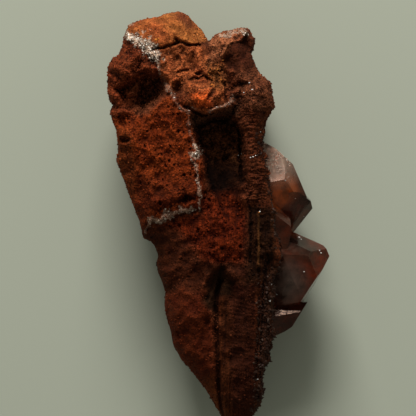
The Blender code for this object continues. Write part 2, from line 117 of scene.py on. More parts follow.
# Rounded swellings and pits: x, y, reach along, reach across, turn in degrees, rise
swellings = {
    "top cap": (-10.5, 38.0, 10.0, 4.6, -6, 1.8),
    "left brow": (-18.0, 32.4, 5.0, 3.2, 25, 1.5),
    "left shelf": (-19.0, 18.0, 4.5, 5.0, 0, 0.9),
    "knob": (-2.2, 24.8, 6.2, 4.2, -14, 4.2),
    "knob tip": (-4.0, 24.2, 2.2, 1.5, 10, 0.9),
    "knob fold": (0.2, 26.4, 2.6, 1.0, 40, 0.8),
    "knob cleft": (-1.4, 25.6, 2.4, 0.6, 55, -1.0),
    "ledge shade under the knob": (-0.6, 22.7, 2.6, 0.8, 12, 1.0),
    "ledge brow": (-9.5, 4.8, 8.5, 5.0, 8, 1.1),
    "knob neck": (-1.2, 30.4, 6.0, 4.0, 35, 1.6),
    "tooth": (1.0, 35.9, 4.4, 3.6, 25, 2.2),
    "shoulder": (7.9, 26.0, 3.8, 6.2, 0, 1.8),
    "orange face": (-2.5, -3.5, 8.0, 8.5, 0, 0.9),
    "lower lobe": (-6.0, -21.5, 6.4, 15.0, 12, 2.3),
    "small pit": (-8.3, 27.1, 1.6, 1.6, 0, -2.0),
    "deep of the hollow": (-13.7, 26.5, 5.2, 3.0, 52, -5.0),
    "left pit": (-19.0, 20.6, 2.4, 1.8, 0, -1.6),
    "spur": (-4.2, 33.4, 2.0, 1.0, 60, 0.9),
    "pit over the knob": (-4.1, 29.9, 0.9, 0.6, 0, -1.4),
    "row of pits": (-6.9, 30.6, 1.9, 0.6, 20, -1.0),
    "deep of the crevice": (-8.8, 35.7, 1.1, 0.5, 0, -1.8),
    "crevice right": (-5.7, 35.6, 0.7, 0.35, 0, -0.9),
    "crevice left": (-11.6, 35.2, 0.9, 0.4, 0, -0.9),
    "lip of the hollow": (-14.4, 30.4, 2.6, 1.1, 12, 1.0),
    "left lump": (-19.8, 30.4, 1.9, 1.6, 0, 0.8),
    "lower left lump": (-20.2, 24.6, 1.7, 1.6, 0, 0.8),
    "left dark pit": (-18.8, 17.3, 1.1, 0.9, 0, -1.2),
    "recess over the ledge": (-6.4, 4.8, 2.4, 1.3, 12, -1.7),
    "lump over the ledge": (-11.6, 4.0, 2.8, 1.6, 8, 0.9),
    "bulge over the pocket": (3.3, -9.8, 2.1, 2.0, 0, 0.9),
    "pit in the lobe": (-2.4, -19.7, 1.1, 1.6, 0, -0.8),
    "nick in the lobe": (-8.0, -22.3, 0.6, 1.0, 0, -0.6),
    "deep of the alcove": (1.7, 13.2, 1.1, 1.4, -30, -1.8),
    "boss in the alcove": (0.4, 17.0, 2.6, 2.2, 0, 1.1),
    "lumps left of the alcove": (-3.8, 18.9, 1.2, 1.7, 0, 0.7),
    "scoop right of the knob": (4.5, 27.3, 2.8, 1.0, 8, -1.3),
}

# Areas that stand up or lie back: corners, rise at the upper and at the lower end, width of the edge
plates = {
    "left plate": ([(-24, 22), (-14, 22.5), (-9.5, 25.5), (-6.5, 24), (-5.3, 21.5), (-4.4, 18), (-3.9, 14),
        (-3.5, 9), (-3.2, 3.4), (-8.5, 2.1), (-13.1, 1.3), (-15, -2), (-24, -2)], 1.0, 0.7, 0.7),
    "hollow": ([(-20.4, 26.6), (-16.8, 28.8), (-14.1, 29.6), (-12.2, 29.3), (-11.4, 27.0), (-12.8, 24.8),
        (-14.4, 22.2), (-15.7, 20.4), (-17.3, 20.8), (-18.6, 23.4)], -3.2, -2.2, 1.0),
    "alcove": ([(-4.2, 20.0), (-1.0, 20.9), (2.0, 21.8), (4.0, 18.9), (4.7, 14.7), (5.0, 8.0), (4.4, 2.0),
        (2.6, -2.5), (1.0, 1.0), (-1.0, 6.0), (-2.6, 10.5), (-3.3, 14.0), (-3.8, 17.5)], -6.6, -0.3, 0.7),
    "arch pocket": ([(0.2, -9.3), (2.6, -11.9), (2.9, -14.8), (1.2, -19.5), (-0.6, -19.5), (-2.7, -15.2),
        (-1.8, -11.6)], -2.3, -0.5, 1.2),
    "tooth hollow": ([(3.2, 36.8), (6.2, 37.6), (6.6, 35.4), (5.8, 32.6), (3.4, 30.6), (1.6, 32.0)],
        -1.5, -1.2, 0.8),
    "crust band": ([(9.6, -6.0), (14.0, -8.0), (14.0, -36.0), (7.2, -36.0), (8.2, -14.0)], -0.8, -0.8, 0.6),
}

# Ridges and grooves: points, half width, rise at the upper end and at the lower end
ridges = {
    "rib": ([(3.4, 33.5), (5.3, 26.5), (6.5, 18.7), (6.9, 10.7), (7.2, 4.7), (7.6, -4.0), (7.0, -16.0)],
        3.4, 3.0, 0.0),
    "tooth edge": ([(6.1, 38.3), (2.6, 35.6), (0.8, 33.5)], 0.55, 0.8, 0.5),
    "cap crevice": ([(-12.9, 34.8), (-11.3, 35.2), (-8.7, 35.8), (-5.7, 35.5), (-3.6, 35.4)],
        0.7, -1.3, -1.3),
    "long groove": ([(0.1, -11.5), (-0.3, -15.0), (-0.5, -19.3), (-0.3, -25.3), (-0.1, -31.3),
        (0.7, -38.0)], 0.8, -1.7, -1.3),
    "crack shade under the knob": ([(-6.6, 23.4), (-5.0, 21.9), (-3.0, 21.5), (-0.8, 21.9)], 0.5, -1.2, -1.2),
    "crack over the knob": ([(-5.6, 28.5), (-3.5, 29.3), (-1.4, 28.8)], 0.4, -0.9, -0.9),
    "crack right of the knob": ([(0.9, 28.4), (1.6, 26.6), (1.4, 24.4)], 0.45, -1.1, -1.1),
    "crust groove": ([(8.0, -9.0), (8.1, -16.0), (7.8, -22.0), (7.4, -31.0)], 0.5, -0.4, -0.6),
    "outer crust groove": ([(8.8, -12.0), (8.6, -20.0), (8.2, -30.0)], 0.35, -0.25, -0.35),
    "alcove crack": ([(2.6, 22.3), (3.5, 18.8), (4.2, 13.0), (4.6, 8.5)], 0.6, -1.2, -0.9),
    "ochre line": ([(7.8, 2.3), (7.9, -3.0), (7.8, -8.1)], 0.28, 0.4, 0.3),
    "dark line": ([(6.2, 6.7), (6.4, 0.0), (6.3, -7.7)], 0.4, -0.3, -0.5),
    "band line": ([(2.4, -14.5), (2.5, -25.0), (2.3, -38.0)], 0.35, -0.2, -0.2),
}

# The pale veins, by the same rule, with how pale each one is
veins = {
    "white vein": ([(-18.2, 38.6), (-17.4, 37.4), (-16.2, 36.6), (-15.0, 35.8), (-13.9, 34.6),
        (-12.6, 33.6)], 1.45, 0.55, 0.5, 1.0),
    "white knot": ([(-12.9, 33.9), (-11.9, 32.9)], 1.0, 0.5, 0.5, 0.9),
    "vein below the knot": ([(-11.9, 32.9), (-12.0, 31.3), (-11.7, 29.2), (-10.9, 27.6)],
        0.4, 0.35, 0.35, 0.35),
    "grey vein over the pit": ([(-10.9, 27.6), (-10.0, 26.4), (-9.3, 25.4)], 0.5, 0.3, 0.3, 0.28),
    "vein to the knob": ([(-8.9, 25.2), (-7.6, 23.7), (-6.3, 22.3), (-4.6, 22.2)], 0.4, 0.3, 0.3, 0.26),
    "thin vein": ([(-6.2, 22.2), (-5.7, 20.0), (-5.5, 18.4), (-4.6, 16.9)], 0.3, 0.25, 0.2, 0.24),
    "pale patch": ([(-4.3, 15.4), (-4.0, 14.2), (-4.8, 13.4)], 1.0, 0.35, 0.3, 0.85),
    "line below the patch": ([(-5.3, 13.0), (-4.5, 9.4), (-4.0, 6.3), (-3.7, 5.1), (-3.8, 2.7)],
        0.28, 0.3, 0.25, 0.42),
    "grey ledge": ([(-5.2, 2.9), (-7.6, 2.3), (-9.7, 1.8), (-11.7, 1.2), (-13.4, 1.1)],
        0.65, 0.35, 0.35, 0.5),
    "vein at the left edge": ([(-13.4, 1.1), (-14.3, -0.6), (-15.0, -2.0)], 0.35, 0.3, 0.3, 0.3),
    "crust on the tooth": ([(0.4, 37.3), (2.2, 37.9), (4.0, 38.4), (6.0, 38.3)], 0.7, 0.2, 0.2, 0.6),
    "grey bits by the knob": ([(-1.4, 22.4), (0.6, 23.4), (2.3, 24.6), (3.2, 25.6)], 0.4, 0.2, 0.2, 0.3),
}

# Surfaces of the front: corners, width of the edge, how lumpy, how pitted, colour
surfaces = {
    "cap": ([(-18.5, 38.7), (-13.7, 40.9), (-9.7, 43.0), (-6.7, 43.0), (-3.0, 39.5), (-2.3, 36.3),
        (-7.7, 35.5), (-11.7, 35.3), (-15.1, 36.7)], 0.8, 0.45, 0.15, (0.335, 0.108, 0.027)),
    "red end of the cap": ([(-16.2, 39.6), (-12.4, 41.2), (-9.6, 37.4), (-10.6, 35.4), (-14.4, 36.0)],
        2.2, 0.55, 0.2, (0.315, 0.074, 0.0205)),
    "brown top of the cap": ([(-9.4, 43.0), (-6.0, 43.0), (-4.4, 39.4), (-6.6, 38.8), (-8.6, 40.6)],
        1.2, 0.5, 0.1, (0.17, 0.047, 0.0165)),
    "left block": ([(-23.5, 32.7), (-19.5, 37.5), (-15.1, 35.5), (-12.5, 33.1), (-11.7, 29.5),
        (-12.1, 26.3), (-15.7, 21.1), (-20.1, 18.3), (-23.5, 22.7)], 1.2, 1.5, 0.8, (0.12, 0.0238, 0.0072)),
    "hollow": ([(-18.0, 26.6), (-15.0, 29.0), (-12.2, 29.3), (-11.4, 27.0), (-14.4, 22.2), (-17.0, 22.4)],
        1.2, 1.2, 0.4, (0.19, 0.055, 0.022)),
    "upper middle": ([(-11.7, 34.7), (-3.7, 35.3), (-1.3, 32.7), (-2.7, 29.9), (-5.7, 28.7), (-8.5, 26.3),
        (-10.5, 27.1), (-11.7, 29.5)], 0.9, 0.75, 0.35, (0.295, 0.075, 0.0235)),
    "knob": ([(-6.9, 28.3), (-2.7, 30.3), (0.7, 28.7), (1.5, 24.7), (-0.1, 22.3), (-3.7, 21.7),
        (-6.1, 23.1)], 1.3, 1.0, 0.4, (0.215, 0.053, 0.0165)),
    "olive streak": ([(-2.6, 31.5), (-0.8, 33.0), (1.6, 31.5), (1.6, 27.6), (-0.6, 26.4), (-2.0, 28.4)],
        1.0, 1.0, 0.5, (0.2, 0.062, 0.018)),
    # painted light: the knob's lit top, its orange colour painted brighter
    "painted light on the knob": ([(-5.6, 25.2), (-2.2, 26.4), (-1.6, 23.6), (-4.4, 22.6)],
        0.7, 0.7, 0.3, (0.46, 0.075, 0.014)),
    "tooth left": ([(-2.1, 36.7), (1.9, 39.4), (6.3, 39.7), (2.7, 35.1), (0.7, 32.7), (-2.1, 32.3)],
        0.7, 0.9, 0.3, (0.255, 0.084, 0.036)),
    # painted shade: the tooth's right side, turned away from the light, painted darker than its left
    "shaded side of the tooth": ([(6.3, 39.2), (8.1, 35.7), (8.4, 31.1), (3.3, 30.3), (0.7, 32.7), (3.5, 35.5)],
        0.7, 0.5, 0.2, (0.0589, 0.0143, 0.0055)),
    "shoulder": ([(3.5, 30.3), (8.4, 31.1), (12.1, 26.7), (11.3, 22.3), (8.7, 21.1), (3.5, 23.1)],
        1.0, 1.0, 0.3, (0.112, 0.033, 0.014)),
    "rib": ([(2.7, 23.1), (9.7, 21.9), (10.1, 14.7), (10.5, 4.7), (6.7, 3.7), (5.1, 8.7), (3.9, 16.7)],
        0.8, 0.8, 0.2, (0.081, 0.0195, 0.007)),
    "alcove": ([(-4.2, 20.6), (-1.0, 21.4), (2.0, 22.3), (3.6, 18.9), (4.5, 14.7), (4.9, 8.6), (0.0, 8.4),
        (-2.4, 9.5), (-2.6, 14.0), (-3.2, 17.5)], 0.9, 1.1, 0.5, (0.082, 0.026, 0.0098)),
    # painted shade: the foot of the alcove, in the knob's shadow, painted almost black
    "shade at the foot of the alcove": ([(-3.0, 12.5), (4.9, 11.5), (4.9, 4.6), (1.5, 3.2), (-2.8, 5.8)],
        2.2, 0.6, 0.3, (0.0105, 0.0031, 0.001)),
    "left face": ([(-23, 20), (-14, 22.0), (-9.5, 25.5), (-6.5, 24), (-5.3, 21.5), (-4.4, 18), (-3.9, 14),
        (-3.2, 9), (-3.2, 3.4), (-8.5, 2.1), (-13.1, 1.3), (-15, -2), (-23, -2)],
        1.0, 0.7, 1.0, (0.172, 0.0268, 0.0045)),
    "orange lump over the ledge": ([(-14.5, 5.2), (-12.0, 6.4), (-9.6, 4.6), (-9.8, 2.2), (-13.6, 1.4)],
        1.0, 0.7, 0.5, (0.2, 0.034, 0.006)),
    # painted shade: the recess over the ledge is painted dark
    "shade in the recess over the ledge": ([(-8.4, 6.6), (-4.4, 7.0), (-4.2, 3.2), (-8.0, 2.8)],
        1.2, 0.9, 0.9, (0.055, 0.0105, 0.003)),
    # painted shade under the knob's overhang
    "shade under the knob": ([(-6.0, 21.6), (-3.4, 21.4), (0.2, 21.9), (3.6, 24.3), (4.3, 21.5), (2.0, 20.4),
        (-2.0, 19.6), (-4.4, 18.6), (-5.4, 20.0)], 0.7, 1.3, 0.4, (0.055, 0.02, 0.009)),
    "left edge": ([(-23, 19), (-17.6, 19), (-16.0, 8), (-13.5, -2), (-23, -2)],
        1.5, 0.8, 0.6, (0.122, 0.025, 0.0055)),
    "foot of the left face": ([(-17, 9.4), (-9.0, 8.2), (-4.4, 9.6), (-3.2, 3.4), (-8.5, 2.1), (-13.1, 1.3),
        (-17, -2)], 2.2, 0.7, 0.9, (0.098, 0.0155, 0.0031)),
    "red face": ([(-4.3, 5.6), (4.3, 6.0), (5.6, 1.7), (5.5, -7.7), (1.3, -8.9), (-2.7, -7.7), (-7.7, -2.3),
        (-11.7, 0.3), (-3.7, 1.9)], 1.7, 0.75, 0.9, (0.097, 0.0122, 0.0021)),
    "lower left": ([(-16.7, -1.7), (-10.7, -0.3), (-6.7, -4.3), (-2.7, -8.9), (-3.7, -13.3), (-12.7, -13.3),
        (-14.1, -7.7)], 1.2, 0.45, 0.3, (0.052, 0.0112, 0.0033)),
    "below the red face": ([(-2.5, -7.9), (6.5, -7.9), (8.5, -12.9), (2.5, -14.0), (-3.0, -13.0)],
        0.8, 0.5, 0.2, (0.05, 0.0122, 0.0044)),
    "lobe": ([(-12.7, -13.3), (-2.7, -13.3), (-0.9, -21.3), (-0.7, -36.3), (-6.7, -32.3), (-11.7, -24.3),
        (-13.1, -17.3)], 1.0, 0.4, 0.2, (0.081, 0.0136, 0.0034)),
    # painted shade: the arch pocket is painted dark
    "arch pocket": ([(0.3, -8.6), (2.9, -12.2), (2.7, -14.4), (0.2, -15.5), (-0.4, -18.6), (-2.9, -15.4),
        (-1.9, -11.6)], 1.0, 0.3, 0.1, (0.027, 0.0098, 0.0036)),
    "foot": ([(-2.0, -31.0), (8.0, -31.0), (8.0, -44.0), (-2.0, -44.0)],
        3.0, 0.35, 0.1, (0.122, 0.032, 0.0097)),
    "light band": ([(-0.1, -14.5), (2.3, -14.5), (2.5, -43.0), (0.7, -43.0), (-0.3, -31.3)],
        0.5, 0.45, 0.05, (0.054, 0.0128, 0.0035)),
    "right band": ([(2.5, -11.9), (7.5, -11.9), (7.7, -28.9), (7.3, -43.0), (2.5, -43.0)],
        0.5, 0.4, 0.1, (0.041, 0.0092, 0.0032)),
    "dark strip": ([(5.7, 3.7), (10.9, 3.7), (11.7, -11.3), (5.5, -11.9)],
        0.7, 0.7, 0.3, (0.024, 0.0072, 0.0022)),
    "ochre line": ([(7.7, 2.2), (8.05, 2.2), (8.15, -8.6), (7.8, -8.6)],
        0.16, 0.5, 0.1, (0.085, 0.031, 0.0095)),
    "crust strip": ([(8.5, -12.3), (11.7, -7.7), (12.3, -15.3), (11.7, -27.3), (9.7, -38.3), (7.3, -38.3),
        (7.9, -25.3)], 0.5, 1.0, 0.2, (0.04, 0.0145, 0.0078)),
}
plainSurface = (0.8, 0.2, (0.11, 0.027, 0.010))   # how lumpy, how pitted and colour of the rest

# Roughness, layer by layer: size of the lumps, height, seed, whether they meet in sharp creases
roughLayers = dict(
    wanderX=[(3.4, 0.9, 11, False), (1.5, 0.4, 12, False), (0.6, 0.12, 15, False)],
    wanderY=[(3.4, 0.9, 13, False), (1.5, 0.4, 14, False), (0.6, 0.12, 16, False)],
    front=[(6.0, 0.9, 1, False), (3.2, 0.5, 2, True), (1.6, 0.3, 3, False)],
    back=[(7.0, 1.0, 4, False), (3.5, 0.5, 5, True), (1.4, 0.2, 24, True)],
    sides=[(7.0, 1.1, 6, False), (3.6, 0.35, 8, True)],
    fineSides=[(4.5, 0.55, 28, True), (2.2, 0.4, 25, True), (1.1, 0.22, 26, True), (0.6, 0.12, 27, False)],
    softEdge=[(7.0, 0.3, 46, False), (2.5, 0.15, 47, False)],
    rim=[(9.0, 0.2, 9, False), (3.5, 0.12, 10, False)],
    sideColours=[(5.0, 0.6, 44, False), (1.6, 0.35, 45, False)],
    bends=[(2.4, 0.5, 33, False), (0.9, 0.2, 34, False)],
    veinEdge=[(1.6, 0.7, 43, False), (0.8, 0.7, 41, False), (0.4, 0.5, 42, False)],
    frostPatches=[(2.2, 1.0, 61, False), (0.9, 0.8, 62, False)],
)

crumbly = dict(size=1.9, height=0.42, octaves=4, gain=0.75, lacunarity=2.1, seed=21)
pits = dict(spacing=1.2, width=0.44, depth=0.8, stretch=0.7, seed=31, narrowest=0.15, shallowest=0.3,
            wall=1.3)
smallPits = dict(pits, spacing=0.7, width=0.5, depth=0.5, stretch=0.8, seed=32)
crustTips = dict(spacing=2.3, height=1.2, sunk=0.5, sharpness=1.6)

# Thin layers of the rib and the bands at the foot: height, spacing, how far they bend
layers = dict(ribFine=(0.14, 0.58, 1.1), ribCoarse=(0.10, 1.35, 0.7), band=(0.05, 0.85, 0.9),
              fibres=(0.09, 0.47, 0.5))
layerCurves = dict(
    tilt=0.10,
    tiltFrom=6.0,
    arch=0.05,
    archFrom=7.0,
    bandArch=0.14,
    bandFrom=2.5,
    bandPower=1.3,
    shoulderShare=0.35,            # how much the layers of the rib show on the shoulder
    bandFibres=0.6,
    evenPart=0.55,                 # the layers fade in and out by the rest
    unevenPart=0.45,
    unevenness=3.0,
)

# The marks on the rock's points: how far round the sides a colour, a vein and the crust reach
rockMarks = dict(
    colourWrap=0.35,
    colourFade=0.5,
    veinFade=0.3,
    standingReach=0.5,
    crustTurn=0.62,                # how far right a face looks to have crust, and how much less low down
    crustTurnLow=0.35,
    crustFade=0.2,
    stripCrust=0.5,
    mostCrumbs=1.5,
    fibreEdge=0.8,                 # how fibrous some surfaces are painted
    fibres={"right band": 0.6, "dark strip": 0.8, "red face": 0.85},
)

# Where an effect sets in: the level at which it starts, and the width over which it grows to full
fades = dict(
    straightLowX=(-2.0, 1.5), straightLowY=(-11.0, -4.0),       # edges that hardly wander
    straightRightX=(5.0, 1.5), straightRightY=(6.0, -5.0),
    topEnd=(33.0, 6.0), footEnd=(-34.0, -5.0),                  # both ends are rounder
    upward=(0.1, 0.6), hollowing=(-42.0, 14.0),
    tipsTurned=(0.3, 0.4), tipsBelow=(24.0, -5.0),
    veinUpward=(0.05, 0.4),
    crustWraps=(-6.0, -3.0), crustX=(4.0, 3.0), crustBelow=(20.0, -4.0), crustAbove=(0.0, 2.0),
    crumbsAbove=(0.0, 3.0), frostUpward=(0.0, 0.25),
)


def softStep(t):
    t = np.clip(t, 0.0, 1.0)
    return t * t * (3.0 - 2.0 * t)


def fade(values, name):
    start, width = fades[name]
    return softStep((values - start) / width)


def along(y, crown):
    heights = sorted(crown)
    return np.interp(y, [h[0] for h in heights], [h[1] for h in heights])


def betweenEnds(y, points, low, high):
    levels = [point[1] for point in points]
    return np.interp(y, [min(levels), max(levels)], [low, high])


def distanceToPath(x, y, path, closed=False):
    ends = path[1:] + path[:1] if closed else path[1:]
    nearest = np.full(len(x), 1e9)
    for (ax, ay), (bx, by) in zip(path, ends):
        dx, dy = bx - ax, by - ay
        t = np.clip(((x - ax) * dx + (y - ay) * dy) / (dx * dx + dy * dy), 0.0, 1.0)
        nearest = np.minimum(nearest, np.hypot(x - ax - t * dx, y - ay - t * dy))
    return nearest


def isInside(x, y, corners):
    crossings = np.zeros(len(x), dtype=int)
    for (ax, ay), (bx, by) in zip(corners, corners[1:] + corners[:1]):
        if ay == by:
            continue
        spans = (ay > y) != (by > y)
        crossings += spans & (x < ax + (y - ay) * (bx - ax) / (by - ay))
    return crossings % 2 == 1


# How much of an area counts at each point: 1 inside, 0 outside, in between over its edge
def share(x, y, corners, edge):
    depth = distanceToPath(x, y, corners, closed=True)
    depth = np.where(isInside(x, y, corners), depth, -depth)
    return softStep(0.5 + depth / (2.0 * edge))


def onSurface(x, y, name, edge):
    return share(x, y, surfaces[name][0], edge)


# The values of the surfaces at each point, from what pick takes of each one
def blendSurfaces(x, y, pick, weight=1.0):
    values = np.tile(np.array(pick(plainSurface)), (len(x), 1))
    for corners, edge, *look in surfaces.values():
        here = (share(x, y, corners, edge) * weight)[:, None]
        values += here * (np.array(pick(look)) - values)
    return values


# Each seed looks at its own part of the noise
def seeded(points, size, seed, steps):
    return (points / size + np.array([seed * step for step in steps])).tolist()


def roughness(points, name):
    total = np.zeros(len(points))
    for size, height, seed, creased in roughLayers[name]:
        lumps = np.array([noise.noise(p) for p in seeded(points, size, seed, (7.3, 3.1, 5.7))])
        total += height * (1.0 - 2.0 * np.abs(lumps) if creased else lumps)
    return total


def crumbs(points, values):
    moved = seeded(points, values["size"], values["seed"], (3.3, 3.3, 3.3))
    lumps = [noise.fractal(p, values["gain"], values["lacunarity"], values["octaves"]) for p in moved]
    return values["height"] * np.array(lumps)


# Distance to the nearest of many scattered seeds, and a number of its own for each seed
def nearestSeed(points, spacing, seed):
    found = [noise.voronoi(p) for p in seeded(points, spacing, seed, (3.7, 1.9, 2.3))]
    chance = np.array([(f[1][0].x * 12.9 + f[1][0].y * 78.2 + f[1][0].z * 37.7) % 1.0 for f in found])
    return np.array([f[0][0] for f in found]), chance


# Pits of many widths, the widest the deepest
def pitted(x, y, values):
    points = np.stack([x, y * values["stretch"], 0.0 * x], axis=1)
    distance, chance = nearestSeed(points, values["spacing"], values["seed"])
    narrow, shallow = values["narrowest"], values["shallowest"]
    width = values["width"] * (narrow + (1.0 - narrow) * chance * chance)
    inside = softStep(values["wall"] * (1.0 - distance / width))
    return -values["depth"] * (shallow + (1.0 - shallow) * chance) * inside


def veinShare(x, y, ragged):
    most = np.zeros(len(x))
    for path, halfWidth, _, _, strength in veins.values():
        near = 1.0 - distanceToPath(x, y, path) / halfWidth - ragged
        most = np.maximum(most, strength * softStep(near / rockMarks["veinFade"]))
    return most


def frontHeight(x, y):
    z = along(y, frontCrown) - rock["slopeLeft"] * np.clip(rock["ribX"] - x, 0.0, None)
    for cx, cy, reachX, reachY, turn, rise in swellings.values():
        c, s = math.cos(math.radians(turn)), math.sin(math.radians(turn))
        u = ((x - cx) * c + (y - cy) * s) / reachX
        v = ((y - cy) * c - (x - cx) * s) / reachY
        z += rise * np.clip(1.0 - u * u - v * v, 0.0, None) ** 1.5
    for corners, upperRise, lowerRise, edge in plates.values():
        z += betweenEnds(y, corners, lowerRise, upperRise) * share(x, y, corners, edge)
    for path, halfWidth, upperRise, lowerRise in list(ridges.values()) + [v[:4] for v in veins.values()]:
        rise = betweenEnds(y, path, lowerRise, upperRise)
        z += rise * softStep(1.0 - distanceToPath(x, y, path) / halfWidth)
    return z


def waves(kind, strength, level, bend):
    height, spacing, bending = layers[kind]
    return height * strength * np.sin(2.0 * math.pi * (level / spacing + bending * bend))


# Thin layers that show on the rib, the shoulder and the bands at the foot
def layering(x, y, bend):
    curves = layerCurves
    rib = onSurface(x, y, "rib", 1.0) + curves["shoulderShare"] * onSurface(x, y, "shoulder", 1.0)
    slope = y + curves["tilt"] * (x - curves["tiltFrom"]) + curves["arch"] * (x - curves["archFrom"]) ** 2
    height = waves("ribFine", rib, slope, bend)
    height += waves("ribCoarse", rib, slope, bend)
    band = onSurface(x, y, "right band", 0.6)
    curved = y + curves["bandArch"] * np.abs(x - curves["bandFrom"]) ** curves["bandPower"]
    height += waves("band", band, curved, bend)
    fibres = onSurface(x, y, "light band", 0.4) + curves["bandFibres"] * band
    fibres += onSurface(x, y, "dark strip", 0.5)
    height += waves("fibres", fibres, x, bend)
    uneven = np.clip(bend * curves["unevenness"], -1.0, 1.0)
    return height * (curves["evenPart"] + curves["unevenPart"] * uneven)


# How far a point's features are looked up from where it is, so that their edges wander
def lookUp(x, y):
    onFront = np.stack([x, y, np.zeros(len(x))], axis=1)
    straight = fade(x, "straightLowX") * fade(y, "straightLowY")
    straight = np.maximum(straight, fade(x, "straightRightX") * fade(y, "straightRightY"))
    wander = 1.0 - rock["straightened"] * straight
    return x + wander * roughness(onFront, "wanderX"), y + wander * roughness(onFront, "wanderY"), onFront


def rolled(depth, radius):
    t = np.clip(1.0 - depth / radius, 0.0, 1.0)
    return radius * (1.0 - np.sqrt(1.0 - t * t))


def frontRounding(y, left, right):
    top = fade(y, "topEnd") * (1.0 - (1.0 - rock["rollTopRight"]) * right)
    foot = fade(y, "footEnd") * rock["rollFoot"]
    ends = np.maximum(top, foot)
    return (rock["rollLeft"] * left + rock["rollRight"] * right) * (1.0 - ends) + rock["rollEnds"] * ends


def readNumbers(items, name, width, kind=np.float64):
    flat = np.empty(len(items) * width, dtype=kind)
    items.foreach_get(name, flat)
    return flat.reshape(-1, width)


def readPoints(mesh):
    return readNumbers(mesh.vertices, "co", 3) / mm


def readNormals(mesh):
    return readNumbers(mesh.vertices, "normal", 3)


# Mean of each point's neighbours, taken several times over
def smoothed(values, edges, rounds, only=None):
    a, b = edges[:, 0], edges[:, 1]
    count = len(values)
    ways = np.maximum(np.bincount(a, minlength=count) + np.bincount(b, minlength=count), 1)
    for _ in range(rounds):
        total = np.bincount(a, values[b], minlength=count) + np.bincount(b, values[a], minlength=count)
        mean = 0.5 * values + 0.5 * total / ways
        values = mean if only is None else np.where(only, mean, values)
    return values


def addObject(name, data):
    made = bpy.data.objects.new(name, data)
    bpy.context.scene.collection.objects.link(made)
    return made


def meshFrom(shape, name):
    mesh = bpy.data.meshes.new(name)
    shape.to_mesh(mesh)
    shape.free()
    return mesh


# Takes the result of an object's modifiers as a plain mesh, and removes the modifiers
def applyModifiers(thing, name):
    graph = bpy.context.evaluated_depsgraph_get()
    plain = bpy.data.meshes.new_from_object(thing.evaluated_get(graph))
    thing.modifiers.clear()
    thing.data = plain
    plain.name = name
    return plain


def rockBlock():
    flat = bmesh.new()
    corners = [flat.verts.new((x * mm, y * mm, 0.0)) for x, y in outline]
    raised = bmesh.ops.extrude_face_region(flat, geom=[flat.faces.new(corners)])["geom"]
    tops = [v for v in raised if isinstance(v, bmesh.types.BMVert)]
    bmesh.ops.translate(flat, verts=tops, vec=(0.0, 0.0, rock["blockHeight"] * mm))
    bmesh.ops.recalc_face_normals(flat, faces=flat.faces)
    block = addObject("rockBlock", meshFrom(flat, "rockBlock"))
    even = block.modifiers.new("evenPoints", "REMESH")
    even.mode = "VOXEL"
    even.voxel_size = rock["pointSpacing"] * mm
    fine = applyModifiers(block, "rockBlock")
    bpy.data.objects.remove(block)
    return fine


def shapeRock(mesh):
    points = readPoints(mesh)
    normals = readNormals(mesh)
    rise = np.clip(points[:, 2] / rock["blockHeight"], 0.0, 1.0)
    lower = rise < rock["softenedBelow"] + roughness(points, "softEdge")
    edges = readNumbers(mesh.edges, "vertices", 2, np.int32)
    x = smoothed(points[:, 0], edges, rock["softenings"], lower)
    y = smoothed(points[:, 1], edges, rock["softenings"], lower)

    depth = np.where(isInside(x, y, outline), distanceToPath(x, y, outline, closed=True), 0.0)
    middle = along(y, middleLine)
    right = softStep((x - middle) / rock["sidesMeet"])
    left = 1.0 - right

    lookX, lookY, onFront = lookUp(x, y)
    front = frontHeight(lookX, lookY) - rolled(depth, frontRounding(y, left, right))
    front += roughness(onFront, "front") * (rock["roughAtRight"] + (1.0 - rock["roughAtRight"]) * left)
    lumpy, pitting = blendSurfaces(lookX, lookY, lambda look: look[:2]).T
    fine = lumpy * crumbs(onFront, crumbly) + layering(lookX, lookY, roughness(onFront, "bends"))
    fine += pitting * (pitted(x, y, pits) + pitted(x, y, smallPits))
    start, width = fades["upward"]
    front += fine * np.clip((normals[:, 2] - start) / width, 0.0, 1.0)
    back = along(y, backCrown) + rolled(depth, rock["rollBack"]) + roughness(onFront, "back")
    z = back + rise * (front - back)

    # the sides draw in towards the back
    low = (1.0 - rise) ** 2
    x = x + rock["leanLeft"] * low * np.clip((middle - x) / rock["leftReach"], 0.0, 1.0)
    x = x - rock["leanRight"] * low * np.clip((x - middle) / rock["rightReach"], 0.0, 1.0)
    y = y - rock["leanTop"] * low * np.clip((y - rock["topFrom"]) / rock["topReach"], 0.0, 1.0)

    # hollows, lumps and crystal points of the sides
    upright = np.hypot(normals[:, 0], normals[:, 1]) ** 2
    rim = rock["outlineRise"] + roughness(onFront, "rim")
    away = np.clip(np.abs(rise - rim) / rock["outlineBand"], 0.0, 1.0)
    body = np.stack([x, y, z], axis=1)
    carve = left * away * (rock["sideHollowing"] + roughness(body, "sides"))
    carve *= fade(y, "hollowing")
    crusted = right * fade(normals[:, 0], "tipsTurned") * fade(y, "tipsBelow")
    nearTip, _ = nearestSeed(np.stack([np.zeros(len(x)), y, z], axis=1), crustTips["spacing"], 0)
    tips = np.clip(1.0 - nearTip * crustTips["sharpness"], 0.0, 1.0)
    push = crusted * (tips * crustTips["height"] - crustTips["sunk"]) - carve
    fineShare = rock["fineAtRim"] + (1.0 - rock["fineAtRim"]) * away
    push += (roughness(body, "fineSides") - rock["fineSideLevel"]) * fineShare
    x = x + push * upright * normals[:, 0]
    y = y + push * upright * normals[:, 1]
    z = np.maximum(z, rock["flatBelow"])
    placed = np.stack([x + drawingShift[0], y + drawingShift[1], z], axis=1)
    mesh.vertices.foreach_set("co", (placed * mm).ravel())
    mesh.update()


def setNumber(mesh, name, values):
    attribute = mesh.attributes.new(name, "FLOAT", "POINT")
    attribute.data.foreach_set("value", values.astype(np.float32))


